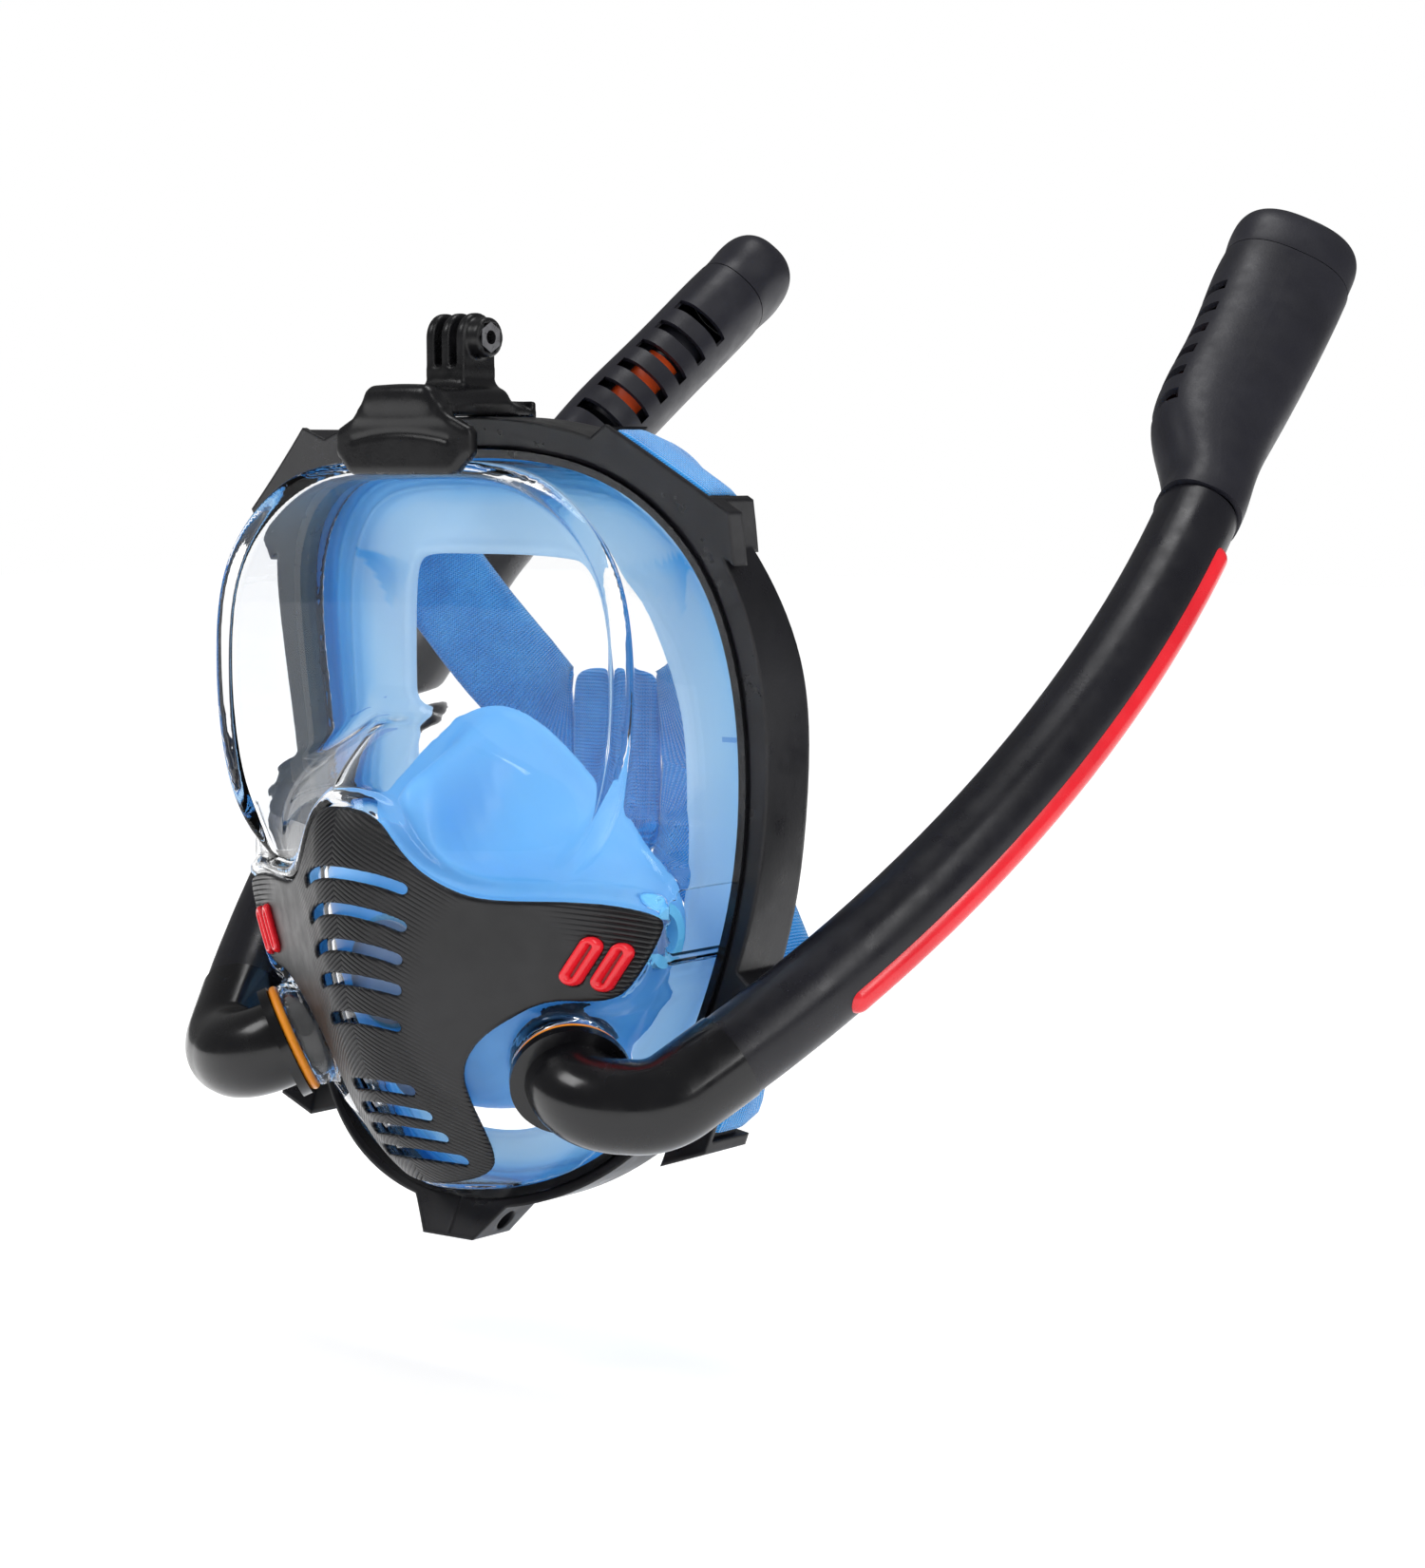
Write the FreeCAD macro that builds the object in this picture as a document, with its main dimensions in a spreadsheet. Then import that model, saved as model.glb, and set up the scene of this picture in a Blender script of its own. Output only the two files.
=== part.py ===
import FreeCAD, Part
import math
import os
from FreeCAD import Placement, Rotation, Vector

# Twin-tube full face snorkel mask, millimetres, +Z up, the wearer looks along -Y.
# Pieces are built about the middle of the rim's front plane and then moved back by
# seal_depth, so that the row's origin is the centre of the opening that meets the face.

os.makedirs("parts", exist_ok=True)
doc = FreeCAD.newDocument("full_face_snorkel")

DIMENSIONS = {
    # rim
    "side_depth": 29.0,
    "sweep_radius": 240.0,
    "sweep_level": -4.0,
    "rim_width": 9.5,
    "rim_thin": 3.0,
    "trim_width": 2.6,
    "seal_depth": 28.0,
    # lens and muzzle
    "lens_wall": 2.4,
    "window_front": 20.0,
    "nose_reach": 52.0,
    "nose_radius": 19.0,
    "nose_arc": 135.0,
    "cheek_slope": 0.62,
    "cover_wall": 2.0,
    "slot_height": 3.4,
    # silicone
    "skirt_wall": 2.6,
    "cup_wall": 2.0,
    # ports, elbows and tubes
    "port_outer": 17.2,
    "port_bore": 14.0,
    "port_long": 13.0,
    "spigot_radius": 13.94,
    "spigot_bore": 11.2,
    "flange_radius": 18.0,
    "flange_thick": 3.0,
    "ring_radius": 15.9,
    "ring_thick": 1.5,
    "elbow_radius": 13.8,
    "elbow_bend": 18.0,
    "tube_radius": 13.25,
    "tube_bore": 11.2,
    "stripe_radius": 4.6,
    "stripe_rise": 11.0,
    # dry tops
    "head_thick": 31.0,
    "head_wide": 45.0,
    "head_long": 146.0,
    "head_wall": 1.9,
    "cap_long": 22.0,
    "louvre_pitch": 12.0,
    "louvre_height": 4.8,
    "louvre_wide": 22.0,
    "cage_radius": 12.0,
    "cage_bore": 11.0,
    "float_radius": 10.4,
    "float_long": 34.0,
    "float_travel": 12.0,
    # valves
    "exhale_radius": 17.0,
    "purge_radius": 12.0,
    "inhale_radius": 10.0,
    "seat_lip": 3.2,
    "disc_thick": 1.2,
    # action-camera fork
    "fork_bore": 2.6,
    "fork_round": 7.4,
    "fork_prong": 3.0,
    "fork_pitch": 6.0,
    "fork_height": 141.8,
    "fork_depth": 3.0,
    "nut_across": 8.0,
    "nut_thick": 3.8,
    "nut_bore": 2.1,
    # strap and chin screw
    "strap_wide": 33.0,
    "strap_thick": 2.2,
    "screw_radius": 1.5,
    "screw_head": 2.8,
}

sheet = doc.addObject("Spreadsheet::Sheet", "dims")
for row, (alias, value) in enumerate(DIMENSIONS.items(), start=1):
    sheet.set("A%d" % row, alias)
    sheet.set("B%d" % row, str(value))
    sheet.setAlias("B%d" % row, alias)
doc.recompute()


def dim(alias):
    return float(getattr(sheet, alias))


NODES = []
X_AXIS = Vector(1, 0, 0)
Y_AXIS = Vector(0, 1, 0)
Z_AXIS = Vector(0, 0, 1)


# ---------------------------------------------------------------- document helpers

def facing(axis, origin):
    """Placement that stands a primitive's own Z along axis at origin."""
    return Placement(origin, Rotation(Z_AXIS, axis))


def primitive(kind, name, bound, place=None, **fixed):
    """A Part primitive whose sizes are bound to the sheet."""
    feature = doc.addObject("Part::" + kind, name)
    for prop, value in fixed.items():
        setattr(feature, prop, value)
    for prop, formula in bound.items():
        feature.setExpression(prop, formula)
    if place:
        feature.Placement = place
    return feature


def cylinder(name, radius, height, axis, origin):
    return primitive("Cylinder", name, {"Radius": radius, "Height": height}, facing(axis, origin))


def cut(name, base, tool):
    feature = doc.addObject("Part::Cut", name)
    feature.Base = base
    feature.Tool = tool
    return feature


def fuse(name, shapes):
    feature = doc.addObject("Part::MultiFuse", name)
    feature.Shapes = shapes
    return feature


def coded(name, shape):
    """A free-form piece whose shape is worked out from the sheet's values."""
    feature = doc.addObject("Part::Feature", name)
    feature.Shape = shape
    return feature


def node(feature, label):
    feature.Label = label
    NODES.append(feature)
    return feature


def mirrored(feature, label):
    """The left-hand twin of a right-hand piece."""
    doc.recompute()
    twin = coded(label, feature.Shape.mirror(Vector(0, 0, 0), X_AXIS))
    return node(twin, label)


# ---------------------------------------------------------------- shape helpers

def mirror_half(half):
    """Closed list of (x, z) from a right-hand half that starts and ends on x = 0."""
    left = [(-x, z) for x, z in reversed(half[1:-1])]
    return half + left


def grown(half, amount):
    """The half outline moved outwards along its normals by a number or by f(z)."""
    reach = amount if callable(amount) else (lambda z: amount)
    ring = mirror_half(half)
    count = len(ring)
    moved = []
    for index in range(len(half)):
        before = ring[index - 1]
        after = ring[(index + 1) % count]
        run = Vector(after[0] - before[0], after[1] - before[1], 0)
        run.normalize()
        x, z = ring[index]
        moved.append((x - run.y * reach(z), z + run.x * reach(z)))
    moved[0] = (0.0, moved[0][1])
    moved[-1] = (0.0, moved[-1][1])
    return moved


def closed_curve(points):
    curve = Part.BSplineCurve()
    curve.interpolate(points, PeriodicFlag=True)
    return Part.Wire([curve.toShape()])


def outline(half, depth):
    """Closed smooth wire through a mirrored half outline; depth is a number or f(x, z)."""
    place = depth if callable(depth) else (lambda x, z: depth)
    return closed_curve([Vector(x, place(x, z), z) for x, z in mirror_half(half)])


def prism(half, front, back):
    face = Part.Face(outline(half, front))
    return face.extrude(Vector(0, back - front, 0))


def polygon_prism(points, front, back):
    corners = [Vector(x, front, z) for x, z in points]
    face = Part.Face(Part.makePolygon(corners + corners[:1]))
    return face.extrude(Vector(0, back - front, 0))


def ring_of(curves):
    """Solid whose section is the closed chain of the given closed wires."""
    faces = []
    for index, wire in enumerate(curves):
        following = curves[(index + 1) % len(curves)]
        faces.append(Part.makeRuledSurface(wire.Edges[0], following.Edges[0]))
    shell = Part.makeShell(faces)
    shell.sewShape()
    solid = Part.makeSolid(Part.Shell(shell.Faces))
    if solid.Volume < 0:
        solid.reverse()
    return solid


def swept_point(spot, depth):
    """The spot moved to a depth behind the rim's front, measured along the sweep's radius."""
    radius = dim("sweep_radius") + depth
    rise = spot.z - dim("sweep_level")
    depth = dim("side_depth") - dim("sweep_radius") + math.sqrt(radius ** 2 - rise ** 2)
    return Vector(spot.x, depth, spot.z)


def rim_front(z):
    """Depth of the rim's front face: chin and forehead forward, temples swept back."""
    return swept_point(Vector(0, 0, z), 0).y


def swept_slab(near, far):
    """Space between two cylinders about the sweep's axis, near and far behind the rim front."""
    radius = dim("sweep_radius")
    start = Vector(-150, dim("side_depth") - radius, dim("sweep_level"))
    outer = Part.makeCylinder(radius + far, 300, start, X_AXIS)
    inner = Part.makeCylinder(radius + near, 300, start, X_AXIS)
    return outer.cut(inner)


# Depth of the rim's back edge, from the forehead down to the chin.
RIM_BACK = [(118, 15.5), (84, 29), (45, 45), (0, 49.5), (-50, 47), (-84, 36), (-106, 22), (-126, 12)]


def rim_space():
    """Side silhouette of the rim between its swept front face and its back edge."""
    top = 126.0
    bottom = -134.0
    curve = Part.BSplineCurve()
    curve.interpolate([Vector(-150, y, z) for z, y in [(top, 11.0)] + RIM_BACK + [(bottom, 9.0)]])
    front = [swept_point(Vector(-150, 0, z), 0) for z in (bottom, 0, top)]
    back_start = curve.value(curve.FirstParameter)
    back_end = curve.value(curve.LastParameter)
    edges = [curve.toShape(), Part.LineSegment(back_end, front[0]).toShape(),
             Part.Arc(*front).toShape(), Part.LineSegment(front[2], back_start).toShape()]
    return Part.Face(Part.Wire(edges)).extrude(Vector(300, 0, 0))


def before_sweep(far):
    """Everything in front of the swept surface that lies far behind the rim front."""
    radius = dim("sweep_radius")
    start = Vector(-150, dim("side_depth") - radius, dim("sweep_level"))
    return Part.makeCylinder(radius + far, 300, start, X_AXIS)


# Right-hand half of the opening inside the rim, from the forehead down to the chin.
RIM_HALF = [
    (0, 108.5), (34, 107), (61, 98), (80, 78), (88, 50), (89, 14),
    (85.5, -25), (79, -56), (68, -86), (51, -104), (28, -115), (0, -119),
]

# ---------------------------------------------------------------- rim halves

# Each ear: its two outer corners and where the strap sits between them.
UPPER_LUG = (Vector(60.6, 0, 115.5), Vector(96.0, 0, 90.0), 0.40)
LOWER_LUG = (Vector(93.0, 0, -50), Vector(86.5, 0, -96), 0.58)
LUG_REACH = 14.0
LUG_FLARE = 7.0
LUG_FACE = 6.0
LUG_DEEP = 18.5
STRAP_CLEAR = 0.5
SLOT_DEEP = 11.5
BAR_OUTSIDE = -2.7
BAR_INSIDE = -6.6
BAR_FRONT = 4.9
BAR_THICK = 10.5


def lug_axes(lug):
    """Direction along the bar and the outward normal, both in the XZ plane."""
    along = (lug[1] - lug[0]).normalize()
    outward = Vector(-along.z, 0, along.x)
    if outward.dot(lug[0] + lug[1]) < 0:
        outward = -outward
    return along, outward


def lug_block(lug, far_corner, depth):
    """Angular plate from the ear's first corner to far_corner, down to a depth."""
    along, outward = lug_axes(lug)
    root_one = lug[0] - outward * LUG_REACH - along * LUG_FLARE
    root_two = far_corner - outward * LUG_REACH + along * LUG_FLARE
    corners = [lug[0], far_corner, root_two, root_one]
    return polygon_prism([(p.x, p.z) for p in corners], -60, 120).common(swept_slab(0, depth))


def lug_solid(lug):
    """Full face plate, and behind it the shorter body that carries the strap bar."""
    inner_corner = lug[0] + (lug[1] - lug[0]) * (lug[2] + 0.46)
    return lug_block(lug, lug[1], LUG_FACE).fuse(lug_block(lug, inner_corner, LUG_DEEP))


def strap_seat(lug):
    return lug[0] + (lug[1] - lug[0]) * lug[2]


def lug_strip(lug, inside, outside, half_long, front, back):
    """Block along the ear's bar that follows the rim's sweep between two depths."""
    along, outward = lug_axes(lug)
    middle = strap_seat(lug)
    corners = []
    for side, reach in ((-1, inside), (1, inside), (1, outside), (-1, outside)):
        corners.append(middle + along * (side * half_long) + outward * reach)
    strip = polygon_prism([(p.x, p.z) for p in corners], -60, 120)
    return strip.common(swept_slab(front, back))


def strap_space(lug):
    """Room for the webbing round the bar, open to the back of the rim."""
    half = dim("strap_wide") / 2 + 1.5
    wrap = dim("strap_thick") + 2 * STRAP_CLEAR
    room = lug_strip(lug, -SLOT_DEEP, 12, half, BAR_FRONT - wrap, 60)
    bar = lug_strip(lug, BAR_INSIDE, BAR_OUTSIDE, half + 1, BAR_FRONT, BAR_FRONT + BAR_THICK)
    return room.cut(bar)


CHIN_SCREW = Vector(0, 4.0, -125.5)


def rim_width_at(z):
    """The rim narrows from the forehead to the chin."""
    rise = (z - RIM_HALF[-1][1]) / (RIM_HALF[0][1] - RIM_HALF[-1][1])
    return dim("rim_thin") + (dim("rim_width") - dim("rim_thin")) * rise


def rim_half():
    outer = prism(grown(RIM_HALF, rim_width_at), -60, 120)
    chin_corners = [(0, -100), (26, -112), (17, -122), (10, -130.5), (0, -130.5)]
    body = outer.fuse(polygon_prism(chin_corners, -60, 120)).common(rim_space())
    body = body.fuse([lug_solid(UPPER_LUG), lug_solid(LOWER_LUG)])
    body = body.cut(prism(RIM_HALF, -70, 130))
    body = body.cut([strap_space(UPPER_LUG), strap_space(LOWER_LUG)])
    body = body.common(Part.makeBox(200, 300, 400, Vector(0, -100, -200)))
    bore = Part.makeCylinder(dim("screw_radius") + 0.1, 30, CHIN_SCREW, X_AXIS)
    return body.cut(bore)


frame_right_shape = rim_half()
head_room = Part.makeCylinder(dim("screw_head") + 0.3, 40, CHIN_SCREW + Vector(7, 0, 0), X_AXIS)
frame_left_shape = frame_right_shape.mirror(Vector(0, 0, 0), X_AXIS)
node(coded("frame_right", frame_right_shape.cut(head_room)), "frame_right")
node(coded("frame_left", frame_left_shape), "frame_left")

shank = cylinder("screw_shank", "dims.screw_radius", "16", X_AXIS, CHIN_SCREW + Vector(-9, 0, 0))
screw_top = cylinder("screw_top", "dims.screw_head", "2.2", X_AXIS, CHIN_SCREW + Vector(7, 0, 0))
socket = primitive("Prism", "screw_socket", {"Circumradius": "dims.screw_radius * 0.9", "Height": "2"},
                   facing(X_AXIS, CHIN_SCREW + Vector(7.9, 0, 0)), Polygon=6)
node(cut("chin_screw", fuse("screw_solid", [shank, screw_top]), socket), "chin_screw")

# ---------------------------------------------------------------- trim ring and lens

GAP = 0.3


def trim_ring():
    outer = prism(grown(RIM_HALF, -0.1), -60, 120)
    inner = prism(grown(RIM_HALF, -0.1 - dim("trim_width")), -70, 130)
    return outer.cut(inner).common(swept_slab(-1.4, 5))


node(coded("trim_ring", trim_ring()), "trim_ring")

# Right-hand half of the arch-shaped front pane.
PANE_HALF = [
    (0, 105.5), (37, 103.5), (59, 93), (76, 73), (81, 46), (79, 18),
    (72, -2), (60, -14), (40, -20), (25, -22), (12, -23), (0, -23),
]

# Muzzle sections: height, half width, and how far the tip stands behind the nose arc.
MUZZLE_SECTIONS = [
    (31, 12, 20.0), (18, 34, 8.0), (4, 70, 0.0), (-24, 85.5, 0.0), (-50, 76, 0.0),
    (-78, 64, 0.0), (-100, 46, 0.0), (-115, 30, 0.0),
]
MUZZLE_BACK = 40.0


def nose_arc(z):
    """Depth of the muzzle's middle line, a large arc seen from the side."""
    radius = dim("nose_arc")
    return -dim("nose_reach") + radius - math.sqrt(radius ** 2 - (z + 17) ** 2)


def muzzle_section(height, half_wide, setback, inset):
    """Horizontal section: rounded nose, straight cheeks and straight sides."""
    radius = dim("nose_radius")
    slope = dim("cheek_slope")
    angle = math.atan(slope)
    tip = nose_arc(height) + setback + inset
    side = max(half_wide - inset, radius * math.sin(angle) + 1)
    nose_x = (radius - inset) * math.sin(angle)
    nose_y = tip + (radius - inset) * (1 - math.cos(angle))
    side_y = nose_y + slope * (side - nose_x)
    right = Vector(nose_x, nose_y, height)
    left = Vector(-nose_x, nose_y, height)
    nose = Part.Arc(left, Vector(0, tip, height), right).toShape()
    side_right = Vector(side, side_y, height)
    side_left = Vector(-side, side_y, height)
    back_right = Vector(side, MUZZLE_BACK, height)
    back_left = Vector(-side, MUZZLE_BACK, height)
    run = [right, side_right, back_right, back_left, side_left, left]
    sides = [Part.LineSegment(a, b).toShape() for a, b in zip(run, run[1:])]
    return Part.Wire([nose] + sides)


def muzzle(inset):
    wires = []
    last = len(MUZZLE_SECTIONS) - 1
    for index, (height, half_wide, setback) in enumerate(MUZZLE_SECTIONS):
        lift = {0: -inset, last: inset}.get(index, 0)
        wires.append(muzzle_section(height + lift, half_wide, setback, inset))
    return Part.makeLoft(wires, True, False)


def goggle(inset):
    back = outline(grown(RIM_HALF, -3.0 - inset), 62)
    front = outline(grown(PANE_HALF, -inset), inset - dim("window_front"))
    return Part.makeLoft([front, back], True, True)


PORT = Vector(55, -14, -73)
PORT_AXIS = Vector(0.65, -0.65, -0.40).normalize()
EXHALE = Vector(0, -33, -46)
PURGE_AXIS = Vector(0, -0.767, -0.641).normalize()
PURGE = Vector(0, -14, -79.4)
INHALE = Vector(0, 8, -34)
INHALE_OUTER = 73.0


def port_tube(radius, start, end):
    shapes = []
    for side in (1, -1):
        axis = Vector(side * PORT_AXIS.x, PORT_AXIS.y, PORT_AXIS.z)
        base = Vector(side * PORT.x, PORT.y, PORT.z) + axis * start
        shapes.append(Part.makeCylinder(radius, end - start, base, axis))
    return shapes


def clear_body(inset):
    """Goggle and muzzle together, kept inside the trim ring."""
    opening = prism(grown(RIM_HALF, -0.4 - dim("trim_width") - inset), -120, 120)
    return goggle(inset).fuse(muzzle(inset)).common(opening)


def lens():
    sockets = port_tube(dim("port_outer"), -dim("port_long"), 0)
    outer = clear_body(0).fuse(sockets).common(before_sweep(5))
    inner = clear_body(dim("lens_wall")).fuse(port_tube(dim("port_bore"), -40, 1))
    return outer.cut(inner)


node(coded("lens", lens()), "lens")

# ---------------------------------------------------------------- front grille cover

COVER_HALF = [
    (0, 4.9), (4, 4.8), (9.3, 3.5), (13.7, 0), (17, -5), (20.5, -10), (24.5, -14.5),
    (30.5, -18.6), (36, -21), (44, -22), (61, -22), (72, -23), (81.5, -25.6), (83.5, -28.5),
    (79, -38.5), (73, -48), (68, -51.5), (58, -52), (48, -54), (39.5, -58.6), (32, -64.6),
    (27, -71.5), (25, -78.5), (25.2, -95.5), (23.6, -103.5), (20.5, -107.5), (15, -110.5),
    (7, -112.2), (0, -112.8),
]
# Breathing slots: half length, height of the ends, and how far the middle rises above them.
SLOTS = [
    (18.6, -18.6, 4.3), (17.5, -29.7, 4.6), (15.5, -39.6, 3.7), (14.3, -48.8, 2.6), (12.2, -60.0, 2.1),
    (10.5, -80.3, 1.0), (12.0, -88.6, 1.7), (13.3, -95.8, 1.7), (15.0, -103.6, 1.8),
]


def muzzle_skin(near, far):
    """Thin shell that follows the muzzle, near and far outside it."""
    return muzzle(-far).cut(muzzle(-near))


def slot_bar(half_long, height, rise):
    """Arched slot with rounded ends, seen from the front, through the whole muzzle."""
    tall = dim("slot_height") / 2
    radius = (half_long ** 2 + rise ** 2) / (2 * rise)
    centre = Vector(0, -90, height + rise - radius)
    angle = math.asin(half_long / radius)

    def spot(reach, turn):
        return centre + Vector(math.sin(turn) * reach, 0, math.cos(turn) * reach)

    def end_cap(turn, side):
        return spot(radius, turn) + Vector(math.cos(turn), 0, -math.sin(turn)) * (tall * side)

    top = Part.Arc(spot(radius + tall, -angle), spot(radius + tall, 0), spot(radius + tall, angle))
    right = Part.Arc(spot(radius + tall, angle), end_cap(angle, 1), spot(radius - tall, angle))
    bottom = Part.Arc(spot(radius - tall, angle), spot(radius - tall, 0), spot(radius - tall, -angle))
    left = Part.Arc(spot(radius - tall, -angle), end_cap(-angle, -1), spot(radius + tall, -angle))
    edges = [arc.toShape() for arc in (top, right, bottom, left)]
    return Part.Face(Part.Wire(edges)).extrude(Vector(0, 140, 0))


PILL_CENTRES = [Vector(62.6, 0, -39.5), Vector(70.2, 0, -41.2)]
PILL_LONG = 16.5
PILL_WIDE = 5.8
PILL_LEAN = 32.0


def pill(centre, wide, long):
    """Upright rounded bar through the wing, leaning outwards at the top."""
    lean = math.radians(PILL_LEAN)
    run = Vector(math.sin(lean), 0, math.cos(lean)) * ((long - wide) / 2)
    across = Vector(math.cos(lean), 0, -math.sin(lean)) * (wide / 2)
    base = centre + Vector(0, -60, 0)
    corners = [base + run + across, base - run + across, base - run - across, base + run - across]
    bar = Part.Face(Part.makePolygon(corners + corners[:1])).extrude(Vector(0, 90, 0))
    ends = [Part.makeCylinder(wide / 2, 90, base + end, Y_AXIS) for end in (run, -run)]
    return bar.fuse(ends)


def grille_cover():
    skin = muzzle_skin(GAP, GAP + dim("cover_wall"))
    face = Part.Face(Part.makePolygon([Vector(x, -80, z) for x, z in mirror_half(COVER_HALF)] +
                                      [Vector(0, -80, COVER_HALF[0][1])]))
    shell = skin.common(face.extrude(Vector(0, 110, 0)))
    shell = shell.cut(port_tube(dim("flange_radius") + 3.0, -30, 20))
    shell = shell.cut([slot_bar(*slot) for slot in SLOTS])
    pills = [pill(c, PILL_WIDE + 0.1, PILL_LONG + 0.1) for c in PILL_CENTRES]
    pills += [p.mirror(Vector(0, 0, 0), X_AXIS) for p in pills]
    return shell.cut(pills)


def accent_rings():
    """Two pill-shaped rings that stand a little proud of the wing."""
    skin = muzzle_skin(GAP, GAP + dim("cover_wall") + 0.8)
    rings = []
    for centre in PILL_CENTRES:
        ring = pill(centre, PILL_WIDE, PILL_LONG).cut(pill(centre, PILL_WIDE - 2.2, PILL_LONG - 2.2))
        rings.append(ring.common(skin))
    return Part.makeCompound(rings)


node(coded("grille_cover", grille_cover()), "grille_cover")
accents = node(coded("accent_rings_right", accent_rings()), "accent_rings_right")
mirrored(accents, "accent_rings_left")

# ---------------------------------------------------------------- silicone skirt and cup

# Right-hand half of the opening for the face.
FACE_HALF = [
    (0, 77), (22, 76.5), (38.5, 72), (49, 52), (54, 26), (55, 0),
    (54.5, -27), (50, -50), (43, -70), (33, -86), (19, -97), (0, -100),
]


def seal_depth_at(x, z):
    """The face curves back from the forehead and chin to the temples."""
    chin = max(0.0, -z) / 100
    return 9.6 + 43 * (x / 64) ** 2 + 3 * chin


def skirt():
    wall = dim("skirt_wall")
    bead = grown(RIM_HALF, -0.4)
    inside = grown(RIM_HALF, -0.4 - wall)
    lip = grown(FACE_HALF, 0)
    curves = [
        outline(bead, lambda x, z: rim_front(z) + 7.5),
        outline(bead, lambda x, z: rim_front(z) + 17),
        outline(lip, lambda x, z: seal_depth_at(x, z) + wall),
        outline(lip, seal_depth_at),
        outline(inside, lambda x, z: rim_front(z) + 12),
        outline(inside, lambda x, z: rim_front(z) + 7.5),
    ]
    return ring_of(curves)


node(coded("skirt", skirt()), "skirt")

# Right-hand halves of the cup's outline, from the bridge of the nose down to the chin.
CUP_STATIONS = [
    (20.0, [(0, 30), (15, 26.5), (30, 17), (45, 3), (59, -11), (68, -22), (71, -33), (66, -48),
            (56, -64), (44, -76), (26, -88), (12, -92), (0, -93)]),
    (0.0, [(0, 19), (8, 14), (13, 0), (21, -9), (36, -13), (52, -16), (66, -24), (63, -40),
           (55, -54), (45, -67), (32, -80), (16, -88), (0, -90)]),
    (-25.0, [(0, 8), (7, 3), (13, -10), (20, -16), (27, -20), (33, -25), (36, -32), (34, -42),
             (30, -51), (24, -59), (16, -66), (8, -70), (0, -71)]),
]


def cup_loft(inset):
    """Pocket over nose and mouth, wide at the face and narrow at the front."""
    wires = []
    for index, (depth, half) in enumerate(CUP_STATIONS):
        shift = (0.5 if index == 0 else 0, 0, inset)[index] if inset else 0
        wires.append(outline(grown(half, -inset), depth + shift))
    return Part.makeLoft(wires, True, True)


cup_outer = coded("cup_outer", cup_loft(0))
cup_inner = coded("cup_inner", cup_loft(dim("cup_wall")))
exhale_hole = cylinder("exhale_hole", "dims.exhale_radius + 0.1", "14", Y_AXIS, EXHALE)
purge_hole = cylinder("purge_hole", "dims.purge_radius + 0.1", "20", PURGE_AXIS, PURGE - PURGE_AXIS * 10)
inhale_hole = cylinder("inhale_hole", "dims.inhale_radius + 0.1", "160", X_AXIS, INHALE + Vector(-80, 0, 0))
cup_tools = fuse("cup_tools", [cup_inner, exhale_hole, purge_hole, inhale_hole])
node(cut("orinasal_cup", cup_outer, cup_tools), "orinasal_cup")


# ---------------------------------------------------------------- valves

def valve(name, radius, axis, origin, seat_long, disc_lift):
    """A seat ring pressed into the cup, with a cross bar, and a silicone flap over it."""
    ring = cylinder(name + "_ring", radius, seat_long, axis, origin)
    mouth = cylinder(name + "_mouth", radius + " - dims.seat_lip", seat_long + " + 2", axis, origin - axis)
    seat = cut(name + "_seat_ring", ring, mouth)
    bar_sizes = {"Length": radius + " * 2 - dims.seat_lip", "Width": "2", "Height": "2"}
    bar = primitive("Box", name + "_bar", bar_sizes)
    turn = Rotation(Z_AXIS, axis)
    half = (dim(radius.split(".")[1]) * 2 - dim("seat_lip")) / 2
    bar.Placement = Placement(origin - turn.multVec(Vector(half, 1, 0)), turn)
    node(fuse(name + "_seat", [seat, bar]), name + "_seat")
    lift = origin + axis * disc_lift
    disc = cylinder(name + "_disc", radius + " - 1.5", "dims.disc_thick", axis, lift)
    node(disc, name + "_disc")


valve("exhale", "dims.exhale_radius", Vector(0, -1, 0), EXHALE + Vector(0, 11, 0), "9", 9.3)
valve("purge", "dims.purge_radius", PURGE_AXIS, PURGE - PURGE_AXIS * 3, "7", 7.3)
for side, hand in ((1, "right"), (-1, "left")):
    axis = Vector(-side, 0, 0)
    inhale_start = INHALE + Vector(side * INHALE_OUTER, 0, 0)
    valve("inhale_" + hand, "dims.inhale_radius", axis, inhale_start, "7", 7.3)

# ---------------------------------------------------------------- ports, elbows and tubes

TUBE_START = Vector(99.0, 6.0, -67.0)
TUBE_MIDDLE = Vector(137.0, 103.0, 6.5)
TUBE_END = Vector(142.0, 197.0, 87.0)
HEAD_END = Vector(116.0, 311.0, 181.0)

tube_curve = Part.Arc(TUBE_START, TUBE_MIDDLE, TUBE_END)
tube_path = Part.Wire([tube_curve.toShape()])
tube_circle = tube_path.Edges[0].Curve
tube_normal = tube_circle.Axis if tube_circle.Axis.z < 0 else -tube_circle.Axis
start_run = tube_path.Edges[0].tangentAt(tube_path.Edges[0].FirstParameter)


def pipe(path, start, run, radius):
    section = Part.Wire([Part.Circle(start, run, radius).toShape()])
    return path.makePipeShell([section], True, False)


def rounded_path(points, radius):
    """Straight runs joined by arcs of one radius."""
    edges = []
    here = points[0]
    for before, corner, after in zip(points, points[1:], points[2:]):
        come = (corner - before).normalize()
        leave = (after - corner).normalize()
        turn = come.getAngle(leave)
        reach = radius * math.tan(turn / 2)
        first = corner - come * reach
        second = corner + leave * reach
        bulge = (leave - come).normalize()
        centre = corner + bulge * (radius / math.cos(turn / 2))
        middle = centre - bulge * radius
        edges.append(Part.LineSegment(here, first).toShape())
        edges.append(Part.Arc(first, middle, second).toShape())
        here = second
    edges.append(Part.LineSegment(here, points[-1]).toShape())
    return Part.Wire(edges)


FLANGE_START = 3.2
ELBOW_FIRST_RUN = 17.0
ELBOW_LAST_RUN = 26.0


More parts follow.
